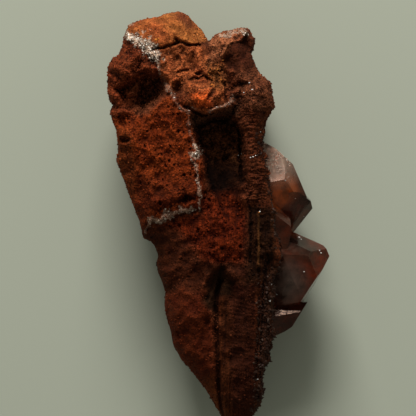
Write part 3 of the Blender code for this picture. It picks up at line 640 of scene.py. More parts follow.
# Numbers and a colour on each point, which the materials and the scattered grains read
def markRock(mesh):
    points = readPoints(mesh)
    normals = readNormals(mesh)
    x, y, z = points[:, 0] - drawingShift[0], points[:, 1] - drawingShift[1], points[:, 2]
    lookX, lookY, onFront = lookUp(x, y)
    marks = rockMarks
    wrapped = normals[:, 2] + marks["colourWrap"] + roughness(points, "sideColours")
    facing = softStep(wrapped / marks["colourFade"])
    colour = blendSurfaces(lookX, lookY, lambda look: look[2], facing)
    tints = mesh.attributes.new("tint", "FLOAT_COLOR", "POINT")
    tints.data.foreach_set("color", np.concatenate([colour, np.ones((len(x), 1))], axis=1).ravel())

    # how far each point stands out from its neighbours, which the rock's paint turns into painted shade and
    # painted light
    edges = readNumbers(mesh.edges, "vertices", 2, np.int32)
    smooth = np.stack([smoothed(points[:, i], edges, rock["standingRounds"]) for i in range(3)], axis=1)
    standing = np.einsum("ij,ij->i", points - smooth, normals)
    setNumber(mesh, "standing", np.clip(0.5 + standing / marks["standingReach"], 0.0, 1.0))
    vein = veinShare(lookX, lookY, roughness(onFront, "veinEdge")) * fade(normals[:, 2], "veinUpward")
    setNumber(mesh, "vein", vein)
    turned = marks["crustTurn"] - marks["crustTurnLow"] * fade(y, "crustWraps")
    crust = softStep((normals[:, 0] - turned) / marks["crustFade"])
    crust *= fade(x, "crustX")
    crust *= fade(y, "crustBelow")
    crust += marks["stripCrust"] * onSurface(lookX, lookY, "crust strip", 0.5)
    setNumber(mesh, "crust", np.clip(crust, 0.0, 1.0) * fade(z, "crustAbove"))
    granules = blendSurfaces(lookX, lookY, lambda look: look[:1])[:, 0]
    granules = np.clip(granules, 0.0, marks["mostCrumbs"])
    setNumber(mesh, "crumbs", granules * fade(z, "crumbsAbove") * (1.0 - vein))
    fibres = onSurface(lookX, lookY, "light band", 0.5)
    for name, amount in marks["fibres"].items():
        fibres = np.maximum(fibres, amount * onSurface(lookX, lookY, name, marks["fibreEdge"]))
    setNumber(mesh, "fibres", fibres)


def makeRock():
    mesh = rockBlock()
    print("rock block:", len(mesh.vertices), "points")
    rise = readPoints(mesh)[:, 2] / rock["blockHeight"]
    shapeRock(mesh)
    made = addObject("hematite_rock", mesh)
    coarser = made.vertex_groups.new(name="coarser")
    coarser.add(np.nonzero(rise < rock["coarserBelow"])[0].tolist(), 1.0, "REPLACE")
    mesh.calc_loop_triangles()
    thin = made.modifiers.new("fewerFaces", "DECIMATE")
    thin.ratio = rock["triangles"] / len(mesh.loop_triangles)
    thin.use_collapse_triangulate = True
    thin.vertex_group = "coarser"
    thin.vertex_group_factor = 1.0
    light = applyModifiers(made, "hematite_rock")
    markRock(light)
    light.shade_flat()
    print("rock:", len(light.polygons), "faces")
    return made


# Grains. Stones have a height and a fineness of their lumps, crystals a ring of corners, a tip and a root
stones = dict(scattered=(0.5, 3.0), single=(0.4, 4.0), singleSquash=0.7)
littleCrystal = dict(zigzag=0.12, tipAside=0.05, rootBelow=0.45)


def addStone(shape, width, squash, lumps, seeds, spot):
    made = bmesh.ops.create_icosphere(shape, subdivisions=1, radius=0.5 * width * mm)["verts"]
    height, fineness = lumps
    for v in made:
        push = 1.0 + height * noise.noise(v.co / mm * fineness + Vector(seeds))
        v.co = Vector((v.co.x, v.co.y * squash[0], v.co.z * squash[1])) * push + spot


# What is scattered is about one millimetre wide and isn't in the scene itself
def stoneShape(name, seed, squash):
    shape = bmesh.new()
    addStone(shape, 1.0, squash, stones["scattered"], (seed, seed, seed), Vector((0.0, 0.0, 0.0)))
    return bpy.data.objects.new(name, meshFrom(shape, name))


def crystalShape(name, sides, waist, length):
    shape = bmesh.new()
    ring = []
    for i in range(sides):
        angle = 2 * math.pi * i / sides
        height = littleCrystal["zigzag"] if i % 2 else -littleCrystal["zigzag"]
        corner = (waist * math.cos(angle) * mm, waist * math.sin(angle) * mm, height * mm)
        ring.append(shape.verts.new(corner))
    tip = shape.verts.new((littleCrystal["tipAside"] * mm, 0.0, length * mm))
    root = shape.verts.new((0.0, 0.0, -littleCrystal["rootBelow"] * mm))
    for i in range(sides):
        shape.faces.new((ring[i], ring[(i + 1) % sides], tip))
        shape.faces.new((ring[(i + 1) % sides], ring[i], root))
    return bpy.data.objects.new(name, meshFrom(shape, name))


# Gives a node's inputs their values, or links them where the value is another node's output
def setInputs(node, inputs):
    for name, value in inputs.items():
        socket = node.inputs[name]
        if isinstance(value, bpy.types.NodeSocket):
            node.id_data.links.new(value, socket)
        elif socket.type == "RGBA":
            socket.default_value = (*value, 1.0)
        else:
            socket.default_value = value


def addNode(tree, kind, inputs, **settings):
    node = tree.nodes.new(kind)
    for name, value in settings.items():
        setattr(node, name, value)
    setInputs(node, inputs)
    return node.outputs


# A node tree with named inputs and outputs, each with its kind of socket
def newTree(name, kind, inputs, outputs):
    tree = bpy.data.node_groups.new(name, kind)
    for way, sockets in (("INPUT", inputs), ("OUTPUT", outputs)):
        for label, socket in sockets.items():
            tree.interface.new_socket(label, in_out=way, socket_type="NodeSocket" + socket)
    return tree, addNode(tree, "NodeGroupInput", {})


def scatterTree(name):
    inputs = dict(Geometry="Geometry", Where="String", PiecesPerSquareMetre="Float", Seed="Int",
                  Smallest="Float", Largest="Float", Upright="Float", Piece="Object", Look="Material")
    tree, given = newTree(name, "GeometryNodeTree", inputs, dict(Geometry="Geometry"))
    where = addNode(tree, "GeometryNodeInputNamedAttribute", {"Name": given["Where"]}, data_type="FLOAT")
    density = addNode(tree, "ShaderNodeMath", {0: where["Attribute"], 1: given["PiecesPerSquareMetre"]},
                      operation="MULTIPLY")
    spread = addNode(tree, "GeometryNodeDistributePointsOnFaces",
                     {"Mesh": given["Geometry"], "Density": density["Value"], "Seed": given["Seed"]})

    # some stand up from the surface, the rest lie any way round
    turn = addNode(tree, "FunctionNodeRandomValue", {"Max": (2 * math.pi,) * 3, "Seed": given["Seed"]},
                   data_type="FLOAT_VECTOR")
    anyWay = addNode(tree, "FunctionNodeEulerToRotation", {"Euler": turn["Value"]})
    choose = addNode(tree, "FunctionNodeRandomValue",
                     {"Probability": given["Upright"], "Seed": given["Seed"]}, data_type="BOOLEAN")
    stand = addNode(tree, "GeometryNodeSwitch",
                    {"Switch": choose["Value"], "False": anyWay["Rotation"], "True": spread["Rotation"]},
                    input_type="ROTATION")

    # small ones are commoner than large ones
    size = addNode(tree, "FunctionNodeRandomValue", {"Seed": given["Seed"]}, data_type="FLOAT")
    bySize = addNode(tree, "ShaderNodeMath", {0: size["Value"], 1: 2.0}, operation="POWER")
    scale = addNode(tree, "ShaderNodeMapRange",
                    {"Value": bySize["Value"], "To Min": given["Smallest"], "To Max": given["Largest"]})
    piece = addNode(tree, "GeometryNodeObjectInfo", {"Object": given["Piece"]})
    place = addNode(tree, "GeometryNodeInstanceOnPoints",
                    {"Points": spread["Points"], "Instance": piece["Geometry"],
                     "Rotation": stand["Output"], "Scale": scale["Result"]})
    varied = addNode(tree, "FunctionNodeRandomValue", {}, data_type="FLOAT")
    store = addNode(tree, "GeometryNodeStoreNamedAttribute",
                    {"Geometry": place["Instances"], "Name": "chance", "Value": varied["Value"]},
                    data_type="FLOAT", domain="INSTANCE")
    real = addNode(tree, "GeometryNodeRealizeInstances", {"Geometry": store["Geometry"]})
    look = addNode(tree, "GeometryNodeSetMaterial", {"Geometry": real["Geometry"], "Material": given["Look"]})
    addNode(tree, "NodeGroupOutput", {"Geometry": look["Geometry"]})
    return tree


# The scattered pieces: the mark that places them, how many, their sizes and the share that stands up,
# and the little shape itself
grains = {
    "rock_crumbs": dict(where="crumbs", perSquareMm=3.4, seed=51, smallest=0.14, largest=0.62, upright=0.0,
                        shape=crystalShape("crumb", sides=4, waist=0.5, length=0.42)),
    "vein_grains": dict(where="vein", perSquareMm=14.0, seed=52, smallest=0.10, largest=0.48, upright=0.0,
                        shape=stoneShape("sugarGrain", seed=7.7, squash=(0.9, 0.7))),
    "crust_crystals": dict(where="crust", perSquareMm=2.6, seed=53, smallest=0.25, largest=1.0, upright=0.75,
                           shape=crystalShape("crustCrystal", sides=6, waist=0.34, length=0.75)),
    "frost_grains": dict(where="frost", perSquareMm=60.0, seed=54, smallest=0.08, largest=0.34, upright=0.0,
                         shape=stoneShape("frostGrain", seed=5.3, squash=(0.9, 0.35))),
}


# Scatters small pieces over a mesh where an attribute allows, and joins them in one mesh
def scatter(tree, name, ground, look):
    values = grains[name]
    holder = addObject(name, ground)
    spread = holder.modifiers.new("scatter", "NODES")
    spread.node_group = tree
    sockets = {item.name: item.identifier for item in tree.interface.items_tree if item.in_out == "INPUT"}
    settings = dict(Where=values["where"], PiecesPerSquareMetre=values["perSquareMm"] * 1e6,
                    Seed=values["seed"], Smallest=values["smallest"], Largest=values["largest"],
                    Upright=values["upright"], Piece=values["shape"], Look=look)
    for label, value in settings.items():
        spread[sockets[label]] = value
    plain = applyModifiers(holder, name)
    print(name + ":", len(plain.polygons), "faces")
    return holder


# Single pale grains set where highlights fall, whose pale colour is a painted highlight; on the rock they are
# also small white calcite grains. Each spot has x, y and width
singleGrains = {
    # small white calcite grains, whose pale colour also paints the highlights on the rock
    "glinting_grains": dict(flatness=0.6, seed=3.0, spots=[
        (6.64, 26.5, 0.5), (6.8, 13.24, 0.45), (4.6, 13.9, 0.35), (8.2, 2.4, 0.4), (10.5, -12.1, 0.4),
        (10.2, -15.4, 0.5), (7.8, -31.1, 0.45), (6.1, 27.9, 0.4), (3.9, 13.6, 0.3), (7.3, 13.5, 0.35),
        (6.3, 13.1, 0.35), (-8.8, 25.0, 0.4), (8.3, 18.2, 0.3), (-5.9, 22.4, 0.4), (5.0, 25.9, 0.35),
    ]),
    # painted highlights on the crystal faces
    "crystal_glints": dict(flatness=0.3, seed=5.0, spots=[
        (16.2, -2.8, 0.5), (16.6, -3.2, 0.3), (20.2, -5.4, 0.4), (20.5, -5.9, 0.45), (17.1, -9.6, 0.3),
        (17.2, 1.4, 0.25), (13.4, 8.6, 0.3), (15.4, 5.0, 0.25), (11.7, -14.2, 0.25),
    ]),
    "ochre_flecks": dict(flatness=0.45, seed=8.0, spots=[
        (-12.4, 36.6, 0.7), (-11.9, 36.8, 0.5), (-1.3, 27.5, 0.55), (-0.9, 27.2, 0.4), (0.5, 28.6, 0.4),
        (-2.0, 29.6, 0.35), (-0.2, 30.6, 0.35), (8.0, 2.2, 0.4), (0.9, 32.4, 0.3),
    ]),
}


def placeGrains(name, ground):
    values = singleGrains[name]
    surface = BVHTree.FromPolygons([v.co for v in ground.vertices], [p.vertices for p in ground.polygons])
    shape = bmesh.new()
    for i, (x, y, width) in enumerate(values["spots"]):
        above = Vector((x + drawingShift[0], y + drawingShift[1], 60.0)) * mm
        spot = surface.ray_cast(above, Vector((0.0, 0.0, -1.0)))[0]
        addStone(shape, width, (stones["singleSquash"], values["flatness"]), stones["single"],
                 (values["seed"] + i, i, values["seed"]), spot)
    print(name + ":", len(values["spots"]), "grains")
    return addObject(name, meshFrom(shape, name))


# The frost on the upper crystal. A zone has x, y, two reaches and how thick it is
frost = dict(
    division=0.7,
    rounds=5,
    edge=1.6,
    patchContrast=1.6,
    zones=[(10.2, 14.2, 5.6, 6.0, 1.0), (11.8, 10.4, 3.2, 2.6, 0.4)],
)


# A finely divided copy of the crystals, marked where their faces are frosted
def frostBase(mesh):
    shape = bmesh.new()
    shape.from_mesh(mesh)
    bmesh.ops.triangulate(shape, faces=shape.faces)
    for _ in range(frost["rounds"]):
        longOnes = [e for e in shape.edges if e.calc_length() > frost["division"] * mm]
        bmesh.ops.subdivide_edges(shape, edges=longOnes, cuts=1)
        bmesh.ops.triangulate(shape, faces=shape.faces)
    divided = meshFrom(shape, "frostBase")
    points = readPoints(divided)
    most = np.zeros(len(points))
    for cx, cy, reachX, reachY, amount in frost["zones"]:
        u, v = (points[:, 0] - cx) / reachX, (points[:, 1] - cy) / reachY
        most = np.maximum(most, amount * softStep(frost["edge"] * (1.0 - np.hypot(u, v))))
    patchy = softStep(0.5 + frost["patchContrast"] * roughness(points, "frostPatches"))
    setNumber(divided, "frost", most * patchy * fade(readNormals(divided)[:, 2], "frostUpward"))
    return divided


# The crystals. Each has a centre, edges of its outline and further faces. An edge or a face passes
# through (x1, y1, z) and (x2, y2, z) and leans back from upright, an edge both above and below.
crystals = dict(uncut=60.0, worn=0.09, wornOver=8.0)

crystalFaces = {
    "upper": ((13.0, 6.5, 11.0), [
        (7.0, 16.8, 9.6, 16.6, 12.2, 34, -24),
        (9.6, 16.6, 14.4, 12.9, 12.2, 48, -26),
        (14.6, 12.7, 17.6, 5.7, 12.2, 43, -22),
    ], [
        (10.0, 9.3, 13.2, 9.75, 14.7, 64),
        (19.7, 3.3, 17.5, 1.25, 9.4, 46),
        (17.7, 5.5, 14.9, -1.0, 10.0, -25),
        (16.0, -1.8, 8.0, -2.6, 9.0, 10),
        (12.0, 0.0, 14.0, 10.0, 2.6, -80),
        (7.4, 17.0, 9.3, -3.0, 10.0, 0),
        (9.5, 16.68, 11.4, 15.0, 12.4, 5),
        (11.5, 15.15, 13.2, 13.75, 12.4, 5),
        (14.2, 13.2, 15.2, 11.45, 12.4, 8),
        (8.0, 5.6, 13.5, 4.2, 15.6, 68),
        (9.7, 7.9, 13.5, 9.1, 15.2, 104),
    ]),
    "blade": ((16.0, 2.0, 8.5), [
        (17.2, 6.1, 18.6, 4.7, 8.5, 6, -25),
        (18.6, 4.7, 18.95, 3.1, 8.5, 2, -20),
        (18.95, 3.0, 15.3, -1.6, 8.5, 35, -30),
    ], [
        (19.7, 3.3, 17.5, 1.25, 9.4, 46),
        (14.0, 7.0, 14.0, -3.0, 9.0, 0),
        (14.0, -2.0, 18.0, -2.0, 5.5, -78),
        (14.0, -1.7, 17.0, -1.7, 9.0, 0),
        (13.5, 6.3, 18.0, 6.3, 9.0, 0),
    ]),
    "fin": ((12.7, -0.5, 13.0), [
        (10.7, 4.4, 14.3, 1.0, 15.0, 30, -10),
        (14.35, 1.2, 14.6, -1.8, 15.0, 1, -8),
        (14.6, -1.8, 13.3, -7.0, 15.0, 1, -8),
    ], [
        (14.0, 4.0, 14.6, -6.0, 16.9, 78),
        (11.4, -2.0, 13.4, -7.0, 15.0, 4),
        (12.0, -4.0, 13.0, 2.0, 8.0, -80),
        (10.0, 5.0, 10.0, -7.0, 12.0, 0),
    ]),
    "lower": ((15.0, -9.0, 11.0), [
        (15.3, -1.75, 20.4, -3.7, 11.0, 24, -30),
        (20.4, -3.7, 21.7, -5.0, 11.0, 3, -32),
        (21.7, -5.0, 22.3, -6.5, 11.0, 2, -32),
        (22.3, -6.6, 17.4, -15.9, 11.0, 1, -28),
    ], [
        (15.0, -5.8, 19.0, -6.8, 17.4, 50),
        (17.5, -10.0, 18.1, -9.2, 17.0, 80),
        (13.0, -7.5, 14.46, -8.86, 17.8, 68),
        (10.9, -17.3, 17.4, -16.3, 13.0, 14),
        (12.0, -12.0, 14.0, -2.0, 3.4, -80),
        (9.4, -1.0, 8.8, -20.0, 10.0, 0),
        (16.5, -2.35, 19.0, -3.45, 11.0, 4),
        (20.3, -10.65, 19.2, -12.3, 12.0, 6),
        (20.9, -4.6, 21.6, -7.2, 13.6, 42),
    ]),
    "bottom": ((12.5, -18.5, 10.0), [
        (17.4, -16.6, 14.75, -20.9, 9.5, 1, -30),
        (14.75, -20.9, 12.9, -22.1, 9.5, 2, -34),
        (12.9, -22.1, 8.0, -24.2, 9.5, 4, -36),
    ], [
        (10.0, -15.8, 17.4, -15.8, 10.0, 0),
        (11.0, -21.45, 15.0, -20.55, 13.2, 58),
        (10.6, -17.75, 12.6, -17.45, 14.4, 64),
        (10.0, -22.0, 12.0, -15.0, 4.6, -80),
        (8.9, -14.0, 8.9, -24.0, 10.0, 0),
    ]),
}


# The plane of a face: a point on it and the way that it looks, away from the crystal's centre
def cutPlane(face, centre):
    x1, y1, x2, y2, height, lean = face
    across = Vector((y2 - y1, x1 - x2, 0.0)).normalized()
    if across.dot(Vector((x1 - centre[0], y1 - centre[1], 0.0))) < 0.0:
        across = -across
    tilt = math.radians(lean)
    return Vector((x1, y1, height)), across * math.cos(tilt) + Vector((0.0, 0.0, math.sin(tilt)))


def cutCrystal(name, centre, edges, faces):
    shape = bmesh.new()
    bmesh.ops.create_cube(shape, size=crystals["uncut"] * mm)
    bmesh.ops.translate(shape, verts=shape.verts, vec=Vector(centre) * mm)
    above = [edge[:6] for edge in edges]
    below = [edge[:5] + edge[6:] for edge in edges]
    for face in above + below + faces:
        point, outward = cutPlane(face, centre)
        everything = shape.verts[:] + shape.edges[:] + shape.faces[:]
        cut = bmesh.ops.bisect_plane(shape, geom=everything, plane_co=point * mm, plane_no=outward,
                                     clear_outer=True, dist=1e-7)
        rim = [e for e in cut["geom_cut"] if isinstance(e, bmesh.types.BMEdge)]
        if rim:
            bmesh.ops.contextual_create(shape, geom=rim)
    bmesh.ops.recalc_face_normals(shape, faces=shape.faces)
    bmesh.ops.translate(shape, verts=shape.verts, vec=(drawingShift[0] * mm, drawingShift[1] * mm, 0.0))
    return addObject(name, meshFrom(shape, name))


def makeCrystals():
    single = [cutCrystal(name, *faces) for name, faces in crystalFaces.items()]
    cluster = single[0]
    for other in single[1:]:
        joined = cluster.modifiers.new("with " + other.name, "BOOLEAN")
        joined.operation = "UNION"
        joined.solver = "EXACT"
        joined.object = other
    edge = cluster.modifiers.new("worn edges", "BEVEL")
    edge.width = crystals["worn"] * mm
    edge.segments = 2
    edge.limit_method = "ANGLE"
    edge.angle_limit = math.radians(crystals["wornOver"])
    bevelled = applyModifiers(cluster, "calcite_crystals")
    for other in single[1:]:
        bpy.data.objects.remove(other)
    cluster.name = "calcite_crystals"
    print("crystals:", len(bevelled.polygons), "faces")
    return cluster


# Materials, and the two effects that more than one of them uses
def newMaterial(name):
    material = bpy.data.materials.new(name)
    material.use_nodes = True
    return material, material.node_tree, material.node_tree.nodes["Principled BSDF"]


def readAttribute(tree, name):
    return addNode(tree, "ShaderNodeAttribute", {}, attribute_name=name)


def product(tree, first, second):
    return addNode(tree, "ShaderNodeMath", {0: first, 1: second}, operation="MULTIPLY")["Value"]


def scaled(tree, colour, amount):
    return addNode(tree, "ShaderNodeVectorMath", {0: colour, "Scale": amount}, operation="SCALE")["Vector"]


# Brings a value from one range to another, and keeps it inside
def ranged(tree, value, fromMin, fromMax, toMin, toMax):
    return addNode(tree, "ShaderNodeMapRange", {"Value": value, "From Min": fromMin, "From Max": fromMax,
                                                "To Min": toMin, "To Max": toMax})["Result"]


def mixColours(tree, factor, first, second):
    return addNode(tree, "ShaderNodeMix", {"Factor": factor, "A": first, "B": second},
                   data_type="RGBA")["Result"]


# Clouds of noise, plain and brought to a range, for mottling, specks, haze and fine relief
def cloudGroup():
    noiseInputs = dict(Vector="Vector", Scale="Float", Detail="Float", Roughness="Float", Distortion="Float")
    rangeInputs = dict(FromMin="Float", FromMax="Float", ToMin="Float", ToMax="Float")
    tree, given = newTree("clouds", "ShaderNodeTree", {**noiseInputs, **rangeInputs},
                          dict(Plain="Float", Ranged="Float", Colour="Color"))
    cloud = addNode(tree, "ShaderNodeTexNoise", {name: given[name] for name in noiseInputs})
    level = ranged(tree, cloud["Fac"], *[given[name] for name in rangeInputs])
    addNode(tree, "NodeGroupOutput", {"Plain": cloud["Fac"], "Ranged": level, "Colour": cloud["Color"]})
    return tree


# The shade of each scattered grain, from its own chance: at these two it is the middle and the pale one
shadeLevels = (0.375, 0.75)


def grainShadeGroup():
    inputs = dict(Chance="Float", Level="Float", Dark="Color", Middle="Color", Pale="Color")
    tree, given = newTree("grainShade", "ShaderNodeTree", inputs, dict(Colour="Color"))
    level = product(tree, given["Chance"], given["Level"])
    middle, pale = shadeLevels
    darker = mixColours(tree, ranged(tree, level, 0.0, middle, 0.0, 1.0), given["Dark"], given["Middle"])
    shade = mixColours(tree, ranged(tree, level, middle, pale, 0.0, 1.0), darker, given["Pale"])
    addNode(tree, "NodeGroupOutput", {"Colour": shade})
    return tree


groups = dict(clouds=cloudGroup(), grainShade=grainShadeGroup())
plainRange = dict(Roughness=0.5, Distortion=0.0, FromMin=0.0, FromMax=1.0, ToMin=0.0, ToMax=1.0)


def clouds(tree, vector, values):
    return addNode(tree, "ShaderNodeGroup", {"Vector": vector, **plainRange, **values},
                   node_tree=groups["clouds"])


# Paints of the small pieces, which run from dark to pale by chance, and of the plain ones
grainPaints = dict(
    paleCalcite=dict(Dark=(0.13, 0.065, 0.04), Middle=(0.50, 0.37, 0.27), Pale=(0.98, 0.88, 0.74)),
    crustCalcite=dict(Dark=(0.024, 0.007, 0.003), Middle=(0.036, 0.012, 0.006), Pale=(0.052, 0.026, 0.016)),
    frostedCalcite=dict(Dark=(0.62, 0.26, 0.16), Middle=(0.95, 0.56, 0.39), Pale=(1.0, 0.86, 0.72)),
)
plainPaints = dict(
    # pale colour of the glint grains: painted highlight
    paintedGlintCalcite=(0.75, 0.70, 0.64),
    yellowOchre=(0.62, 0.20, 0.025),
    plainFloor=(0.455, 0.475, 0.375),
)
shine = dict(          # roughness and specular level
    paleCalcite=(0.3, 0.5), crustCalcite=(0.6, 0.18), frostedCalcite=(0.35, 0.5),
    paintedGlintCalcite=(0.12, 0.5), yellowOchre=(0.7, 0.2), plainFloor=(0.9, 0.2),
    rustCrumbs=(0.85, 0.06), hematiteRock=(0.85, 0.06),
)


def setShine(shader, name):
    roughness, specular = shine[name]
    setInputs(shader, {"Roughness": roughness, "Specular IOR Level": specular})


def grainLook(name, follows=""):
    material, tree, shader = newMaterial(name)
    level = readAttribute(tree, follows)["Fac"] if follows else 1.0
    inputs = {"Chance": readAttribute(tree, "chance")["Fac"], "Level": level, **grainPaints[name]}
    shade = addNode(tree, "ShaderNodeGroup", inputs, node_tree=groups["grainShade"])
    setInputs(shader, {"Base Color": shade["Colour"]})
    setShine(shader, name)
    return material


def plainLook(name):
    material, _, shader = newMaterial(name)
    setInputs(shader, {"Base Color": plainPaints[name]})
    setShine(shader, name)
    return material


# The rock's paint. A range goes from two levels to two others
rockPaint = dict(
    mottle=dict(Scale=2100.0, Detail=5.0, Roughness=0.8),
    threads=dict(Scale=1500.0, Detail=5.0, Roughness=0.7),
    threadStretch=(1.3, 0.12, 0.6),
    contrast=(0.36, 0.64, 0.22, 1.75),
    drift=dict(Scale=330.0, Detail=5.0, Roughness=0.6),
    driftColours=[(0.36, (0.86, 0.72, 0.66)), (0.5, (1.0, 0.95, 0.85)), (0.66, (1.12, 1.12, 1.05))],
    specks=dict(Scale=3600.0, Detail=1.0, FromMin=0.38, FromMax=0.46, ToMin=0.25, ToMax=1.12),
    # painted shade in the hollows and painted light on what stands out, by how far each point stands out
    hollowShade=(0.22, 0.75, 0.22, 1.4),
    grainy=(0.3, 1.0, 0.5, 1.0),          # less contrast where there are few crumbs
    even=0.85,
    vein=(0.36, 0.235, 0.16),
    relief=dict(Scale=2300.0, Detail=5.0, Roughness=0.65),
    reliefStrength=1.0,
    reliefDepth=0.3,
    crumbRange=(0.0, 1.0, 0.2, 1.9),
)


def crumbLook():
    material, tree, shader = newMaterial("rustCrumbs")
    level = ranged(tree, readAttribute(tree, "chance")["Fac"], *rockPaint["crumbRange"])
    setInputs(shader, {"Base Color": scaled(tree, readAttribute(tree, "tint")["Color"], level)})
    setShine(shader, "rustCrumbs")
    return material


def rockLook():
    material, tree, shader = newMaterial("hematiteRock")
    place = addNode(tree, "ShaderNodeTexCoord", {})["Object"]
    marks = {name: readAttribute(tree, name) for name in ("tint", "standing", "vein", "fibres", "crumbs")}

    # mottled, or threaded along the rock where its surface is fibrous
    stretched = addNode(tree, "ShaderNodeMapping", {"Vector": place, "Scale": rockPaint["threadStretch"]})
    mottle = clouds(tree, place, rockPaint["mottle"])["Plain"]
    threads = clouds(tree, stretched["Vector"], rockPaint["threads"])["Plain"]
    either = addNode(tree, "ShaderNodeMix", {"Factor": marks["fibres"]["Fac"], "A": mottle, "B": threads})
    contrast = ranged(tree, either["Result"], *rockPaint["contrast"])

    drift = tree.nodes.new("ShaderNodeValToRGB")
    stops = drift.color_ramp.elements
    stops.new(1.0)
    for stop, (position, colour) in zip(stops, rockPaint["driftColours"]):
        stop.position = position
        stop.color = (*colour, 1.0)
    setInputs(drift, {"Fac": clouds(tree, place, rockPaint["drift"])["Plain"]})
    drifted = addNode(tree, "ShaderNodeVectorMath", {0: marks["tint"]["Color"], 1: drift.outputs["Color"]},
                      operation="MULTIPLY")

    # dark specks, with painted shade in the hollows and painted light where the surface stands out
    spotted = product(tree, contrast, clouds(tree, place, rockPaint["specks"])["Ranged"])
    shading = product(tree, spotted, ranged(tree, marks["standing"]["Fac"], *rockPaint["hollowShade"]))
    grainy = ranged(tree, marks["crumbs"]["Fac"], *rockPaint["grainy"])
    evened = addNode(tree, "ShaderNodeMix", {"Factor": grainy, "A": rockPaint["even"], "B": shading})
    rust = scaled(tree, drifted["Vector"], evened["Result"])
    pale = scaled(tree, rockPaint["vein"], shading)
    setInputs(shader, {"Base Color": mixColours(tree, marks["vein"]["Fac"], rust, pale)})

    relief = clouds(tree, place, rockPaint["relief"])["Plain"]
    bump = addNode(tree, "ShaderNodeBump", {"Strength": rockPaint["reliefStrength"],
                                            "Distance": rockPaint["reliefDepth"] * mm, "Height": relief})
    setInputs(shader, {"Normal": bump["Normal"]})
    setShine(shader, "hematiteRock")
    return material


# The see-through crystals
glass = dict(
    clear=(0.14, 0.017, 0.003),
    hazy=(0.16, 0.045, 0.019),
    absorbColour=(0.62, 0.20, 0.10),
    density=170.0,
    transmission=0.74,
    bending=1.5,
    specular=0.3,
    specularTint=(0.85, 0.58, 0.44),
    haze=dict(Scale=300.0, Detail=7.0, Roughness=0.68, Distortion=0.6, FromMin=0.44, FromMax=0.64),
    swirl=dict(Scale=420.0, Detail=6.0, Roughness=0.7, FromMin=0.36, FromMax=0.64, ToMin=0.4, ToMax=1.4),
    wander=3.0,                    # how far the swirl moves the zones' edges
    zoneCore=0.35,                 # share of a zone's reach where it has its full strength
    smoothest=0.08,
    haziest=0.24,
    frostRoughness=0.35,
    dents=dict(Scale=900.0, Detail=4.0),
    dentStrength=0.4,
    dentDepth=0.12,
)

# Zones of the crystals: middle, reach, colour, strength
glassZones = {
    "deep red": ((20.6, -8.8, 13.5), 6.5, (0.34, 0.03, 0.003), 0.9),
    # painted reflection: grey where the lower crystal's faces mirror the room
    "painted grey reflection": ((13.2, -11.5, 16.0), 6.0, (0.21, 0.155, 0.12), 0.75),
    "dark top": ((18.0, -4.6, 16.5), 4.2, (0.06, 0.03, 0.018), 0.8),
    # painted shade in the recess where the crystals meet
    "shade between the crystals": ((15.2, -3.2, 15.0), 3.2, (0.015, 0.005, 0.003), 0.95),
    # painted light: orange glow where light passes through the upper crystal
    "painted glow": ((12.4, 6.8, 15.0), 4.8, (1.0, 0.20, 0.035), 0.9),
    "frosted": ((10.6, 13.8, 13.0), 8.0, (1.0, 0.64, 0.46), 1.0),
}


def zoneMask(tree, vector, zone):
    middle, reach, _, strength = zone
    half = 0.5 * glass["wander"]
    centre = [(value + half) * mm for value in middle]
    away = addNode(tree, "ShaderNodeVectorMath", {0: vector, 1: centre}, operation="DISTANCE")["Value"]
    return ranged(tree, away, reach * mm, glass["zoneCore"] * reach * mm, 0.0, strength)


def crystalLook():
    material, tree, shader = newMaterial("redCalcite")
    place = addNode(tree, "ShaderNodeTexCoord", {})["Object"]
    haze = clouds(tree, place, glass["haze"])["Ranged"]
    swirl = clouds(tree, place, glass["swirl"])
    furthest = (glass["wander"] * mm,) * 3
    moved = addNode(tree, "ShaderNodeVectorMath", {0: swirl["Colour"], 1: furthest, 2: place},
                    operation="MULTIPLY_ADD")["Vector"]
    colour = mixColours(tree, haze, glass["clear"], glass["hazy"])
    masks = {name: zoneMask(tree, moved, zone) for name, zone in glassZones.items()}
    for name, (_, _, zoneColour, _) in glassZones.items():
        colour = mixColours(tree, masks[name], colour, zoneColour)
    hazeRoughness = ranged(tree, haze, 0.0, 1.0, glass["smoothest"], glass["haziest"])
    rougher = addNode(tree, "ShaderNodeMath",
                      {0: masks["frosted"], 1: glass["frostRoughness"], 2: hazeRoughness},
                      operation="MULTIPLY_ADD")
    dents = clouds(tree, place, glass["dents"])["Plain"]
    bump = addNode(tree, "ShaderNodeBump", {"Strength": glass["dentStrength"],
                                            "Distance": glass["dentDepth"] * mm, "Height": dents})
    setInputs(shader, {
        "Base Color": scaled(tree, colour, swirl["Ranged"]),
        "Roughness": rougher["Value"],
        "Normal": bump["Normal"],
        "IOR": glass["bending"],
        "Specular IOR Level": glass["specular"],
        "Specular Tint": glass["specularTint"],
        "Transmission Weight": glass["transmission"],
    })
    absorb = addNode(tree, "ShaderNodeVolumeAbsorption",
                     {"Color": glass["absorbColour"], "Density": glass["density"]})
    setInputs(tree.nodes["Material Output"], {"Volume": absorb["Volume"]})
    return material


studio = dict(
    keyPlace=(-0.07, 0.66, 0.36), keyAim=(0.0, 0.0, 0.01), keySize=0.34, keyPower=7.1,
    worldColour=(0.50, 0.52, 0.48), worldStrength=0.44,
    floorSize=2.0, nearest=0.01,
    lens=400.0, sensor=36.0, viewWidth=0.0832, viewHeight=0.016, viewCentre=(-0.00216, 0.003035),
)


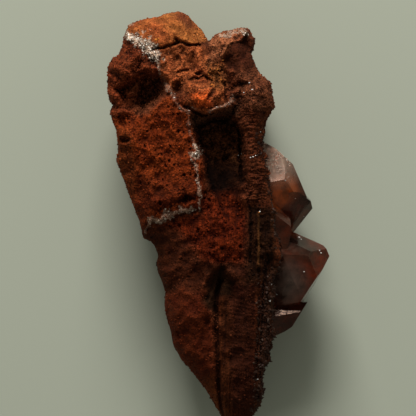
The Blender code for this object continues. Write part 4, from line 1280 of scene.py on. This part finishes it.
def makeStudio():
    plane = bmesh.new()
    bmesh.ops.create_grid(plane, x_segments=1, y_segments=1, size=studio["floorSize"])
    floor = addObject("floor", meshFrom(plane, "floor"))
    floor.data.materials.append(plainLook("plainFloor"))
    floor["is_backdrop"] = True

    lamp = bpy.data.lights.new("key", "AREA")
    lamp.size = studio["keySize"]
    lamp.energy = studio["keyPower"]
    key = addObject("key", lamp)
    key.location = studio["keyPlace"]
    key.rotation_euler = (Vector(studio["keyAim"]) - key.location).to_track_quat("-Z", "Y").to_euler()

    world = bpy.data.worlds.new("softRoom")
    world.use_nodes = True
    background = world.node_tree.nodes["Background"]
    setInputs(background, {"Color": studio["worldColour"], "Strength": studio["worldStrength"]})
    bpy.context.scene.world = world

    view = bpy.data.cameras.new("camera")
    view.lens = studio["lens"]
    view.sensor_width = studio["sensor"]
    view.clip_start = studio["nearest"]
    camera = addObject("camera", view)
    away = studio["viewWidth"] * studio["lens"] / studio["sensor"]
    camera.location = (*studio["viewCentre"], studio["viewHeight"] + away)
    bpy.context.scene.camera = camera
    bpy.context.scene.view_settings.view_transform = "Standard"
    print("studio ready")


# The specimen put together
makeStudio()
rockPiece = makeRock()
rockPiece.data.materials.append(rockLook())
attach(rockPiece, "root")
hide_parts("matrix")

tree = scatterTree("scatterPieces")
crumbPiece = scatter(tree, "rock_crumbs", rockPiece.data, crumbLook())
sugarPiece = scatter(tree, "vein_grains", rockPiece.data, grainLook("paleCalcite", "vein"))
crustPiece = scatter(tree, "crust_crystals", rockPiece.data, grainLook("crustCalcite"))
# white calcite grains that also stand for painted highlights
glintPiece = placeGrains("glinting_grains", rockPiece.data)
glintPiece.data.materials.append(plainLook("paintedGlintCalcite"))
fleckPiece = placeGrains("ochre_flecks", rockPiece.data)
fleckPiece.data.materials.append(plainLook("yellowOchre"))
for piece in (crumbPiece, sugarPiece, crustPiece, glintPiece, fleckPiece):
    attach(piece, "root")

crystalPiece = makeCrystals()
crystalPiece.data.materials.append(crystalLook())
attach(crystalPiece, "root")
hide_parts("calcite_cluster")

# pale grains on the crystals: painted highlights
starPiece = placeGrains("crystal_glints", crystalPiece.data)
starPiece.data.materials.append(bpy.data.materials["paintedGlintCalcite"])
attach(starPiece, "root")

frostPiece = scatter(tree, "frost_grains", frostBase(crystalPiece.data), grainLook("frostedCalcite"))
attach(frostPiece, "root")

sizes = {"cad": cadBox, "visual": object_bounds()}
sizes = {name: [[float(v) for v in corner] for corner in box] for name, box in sizes.items()}
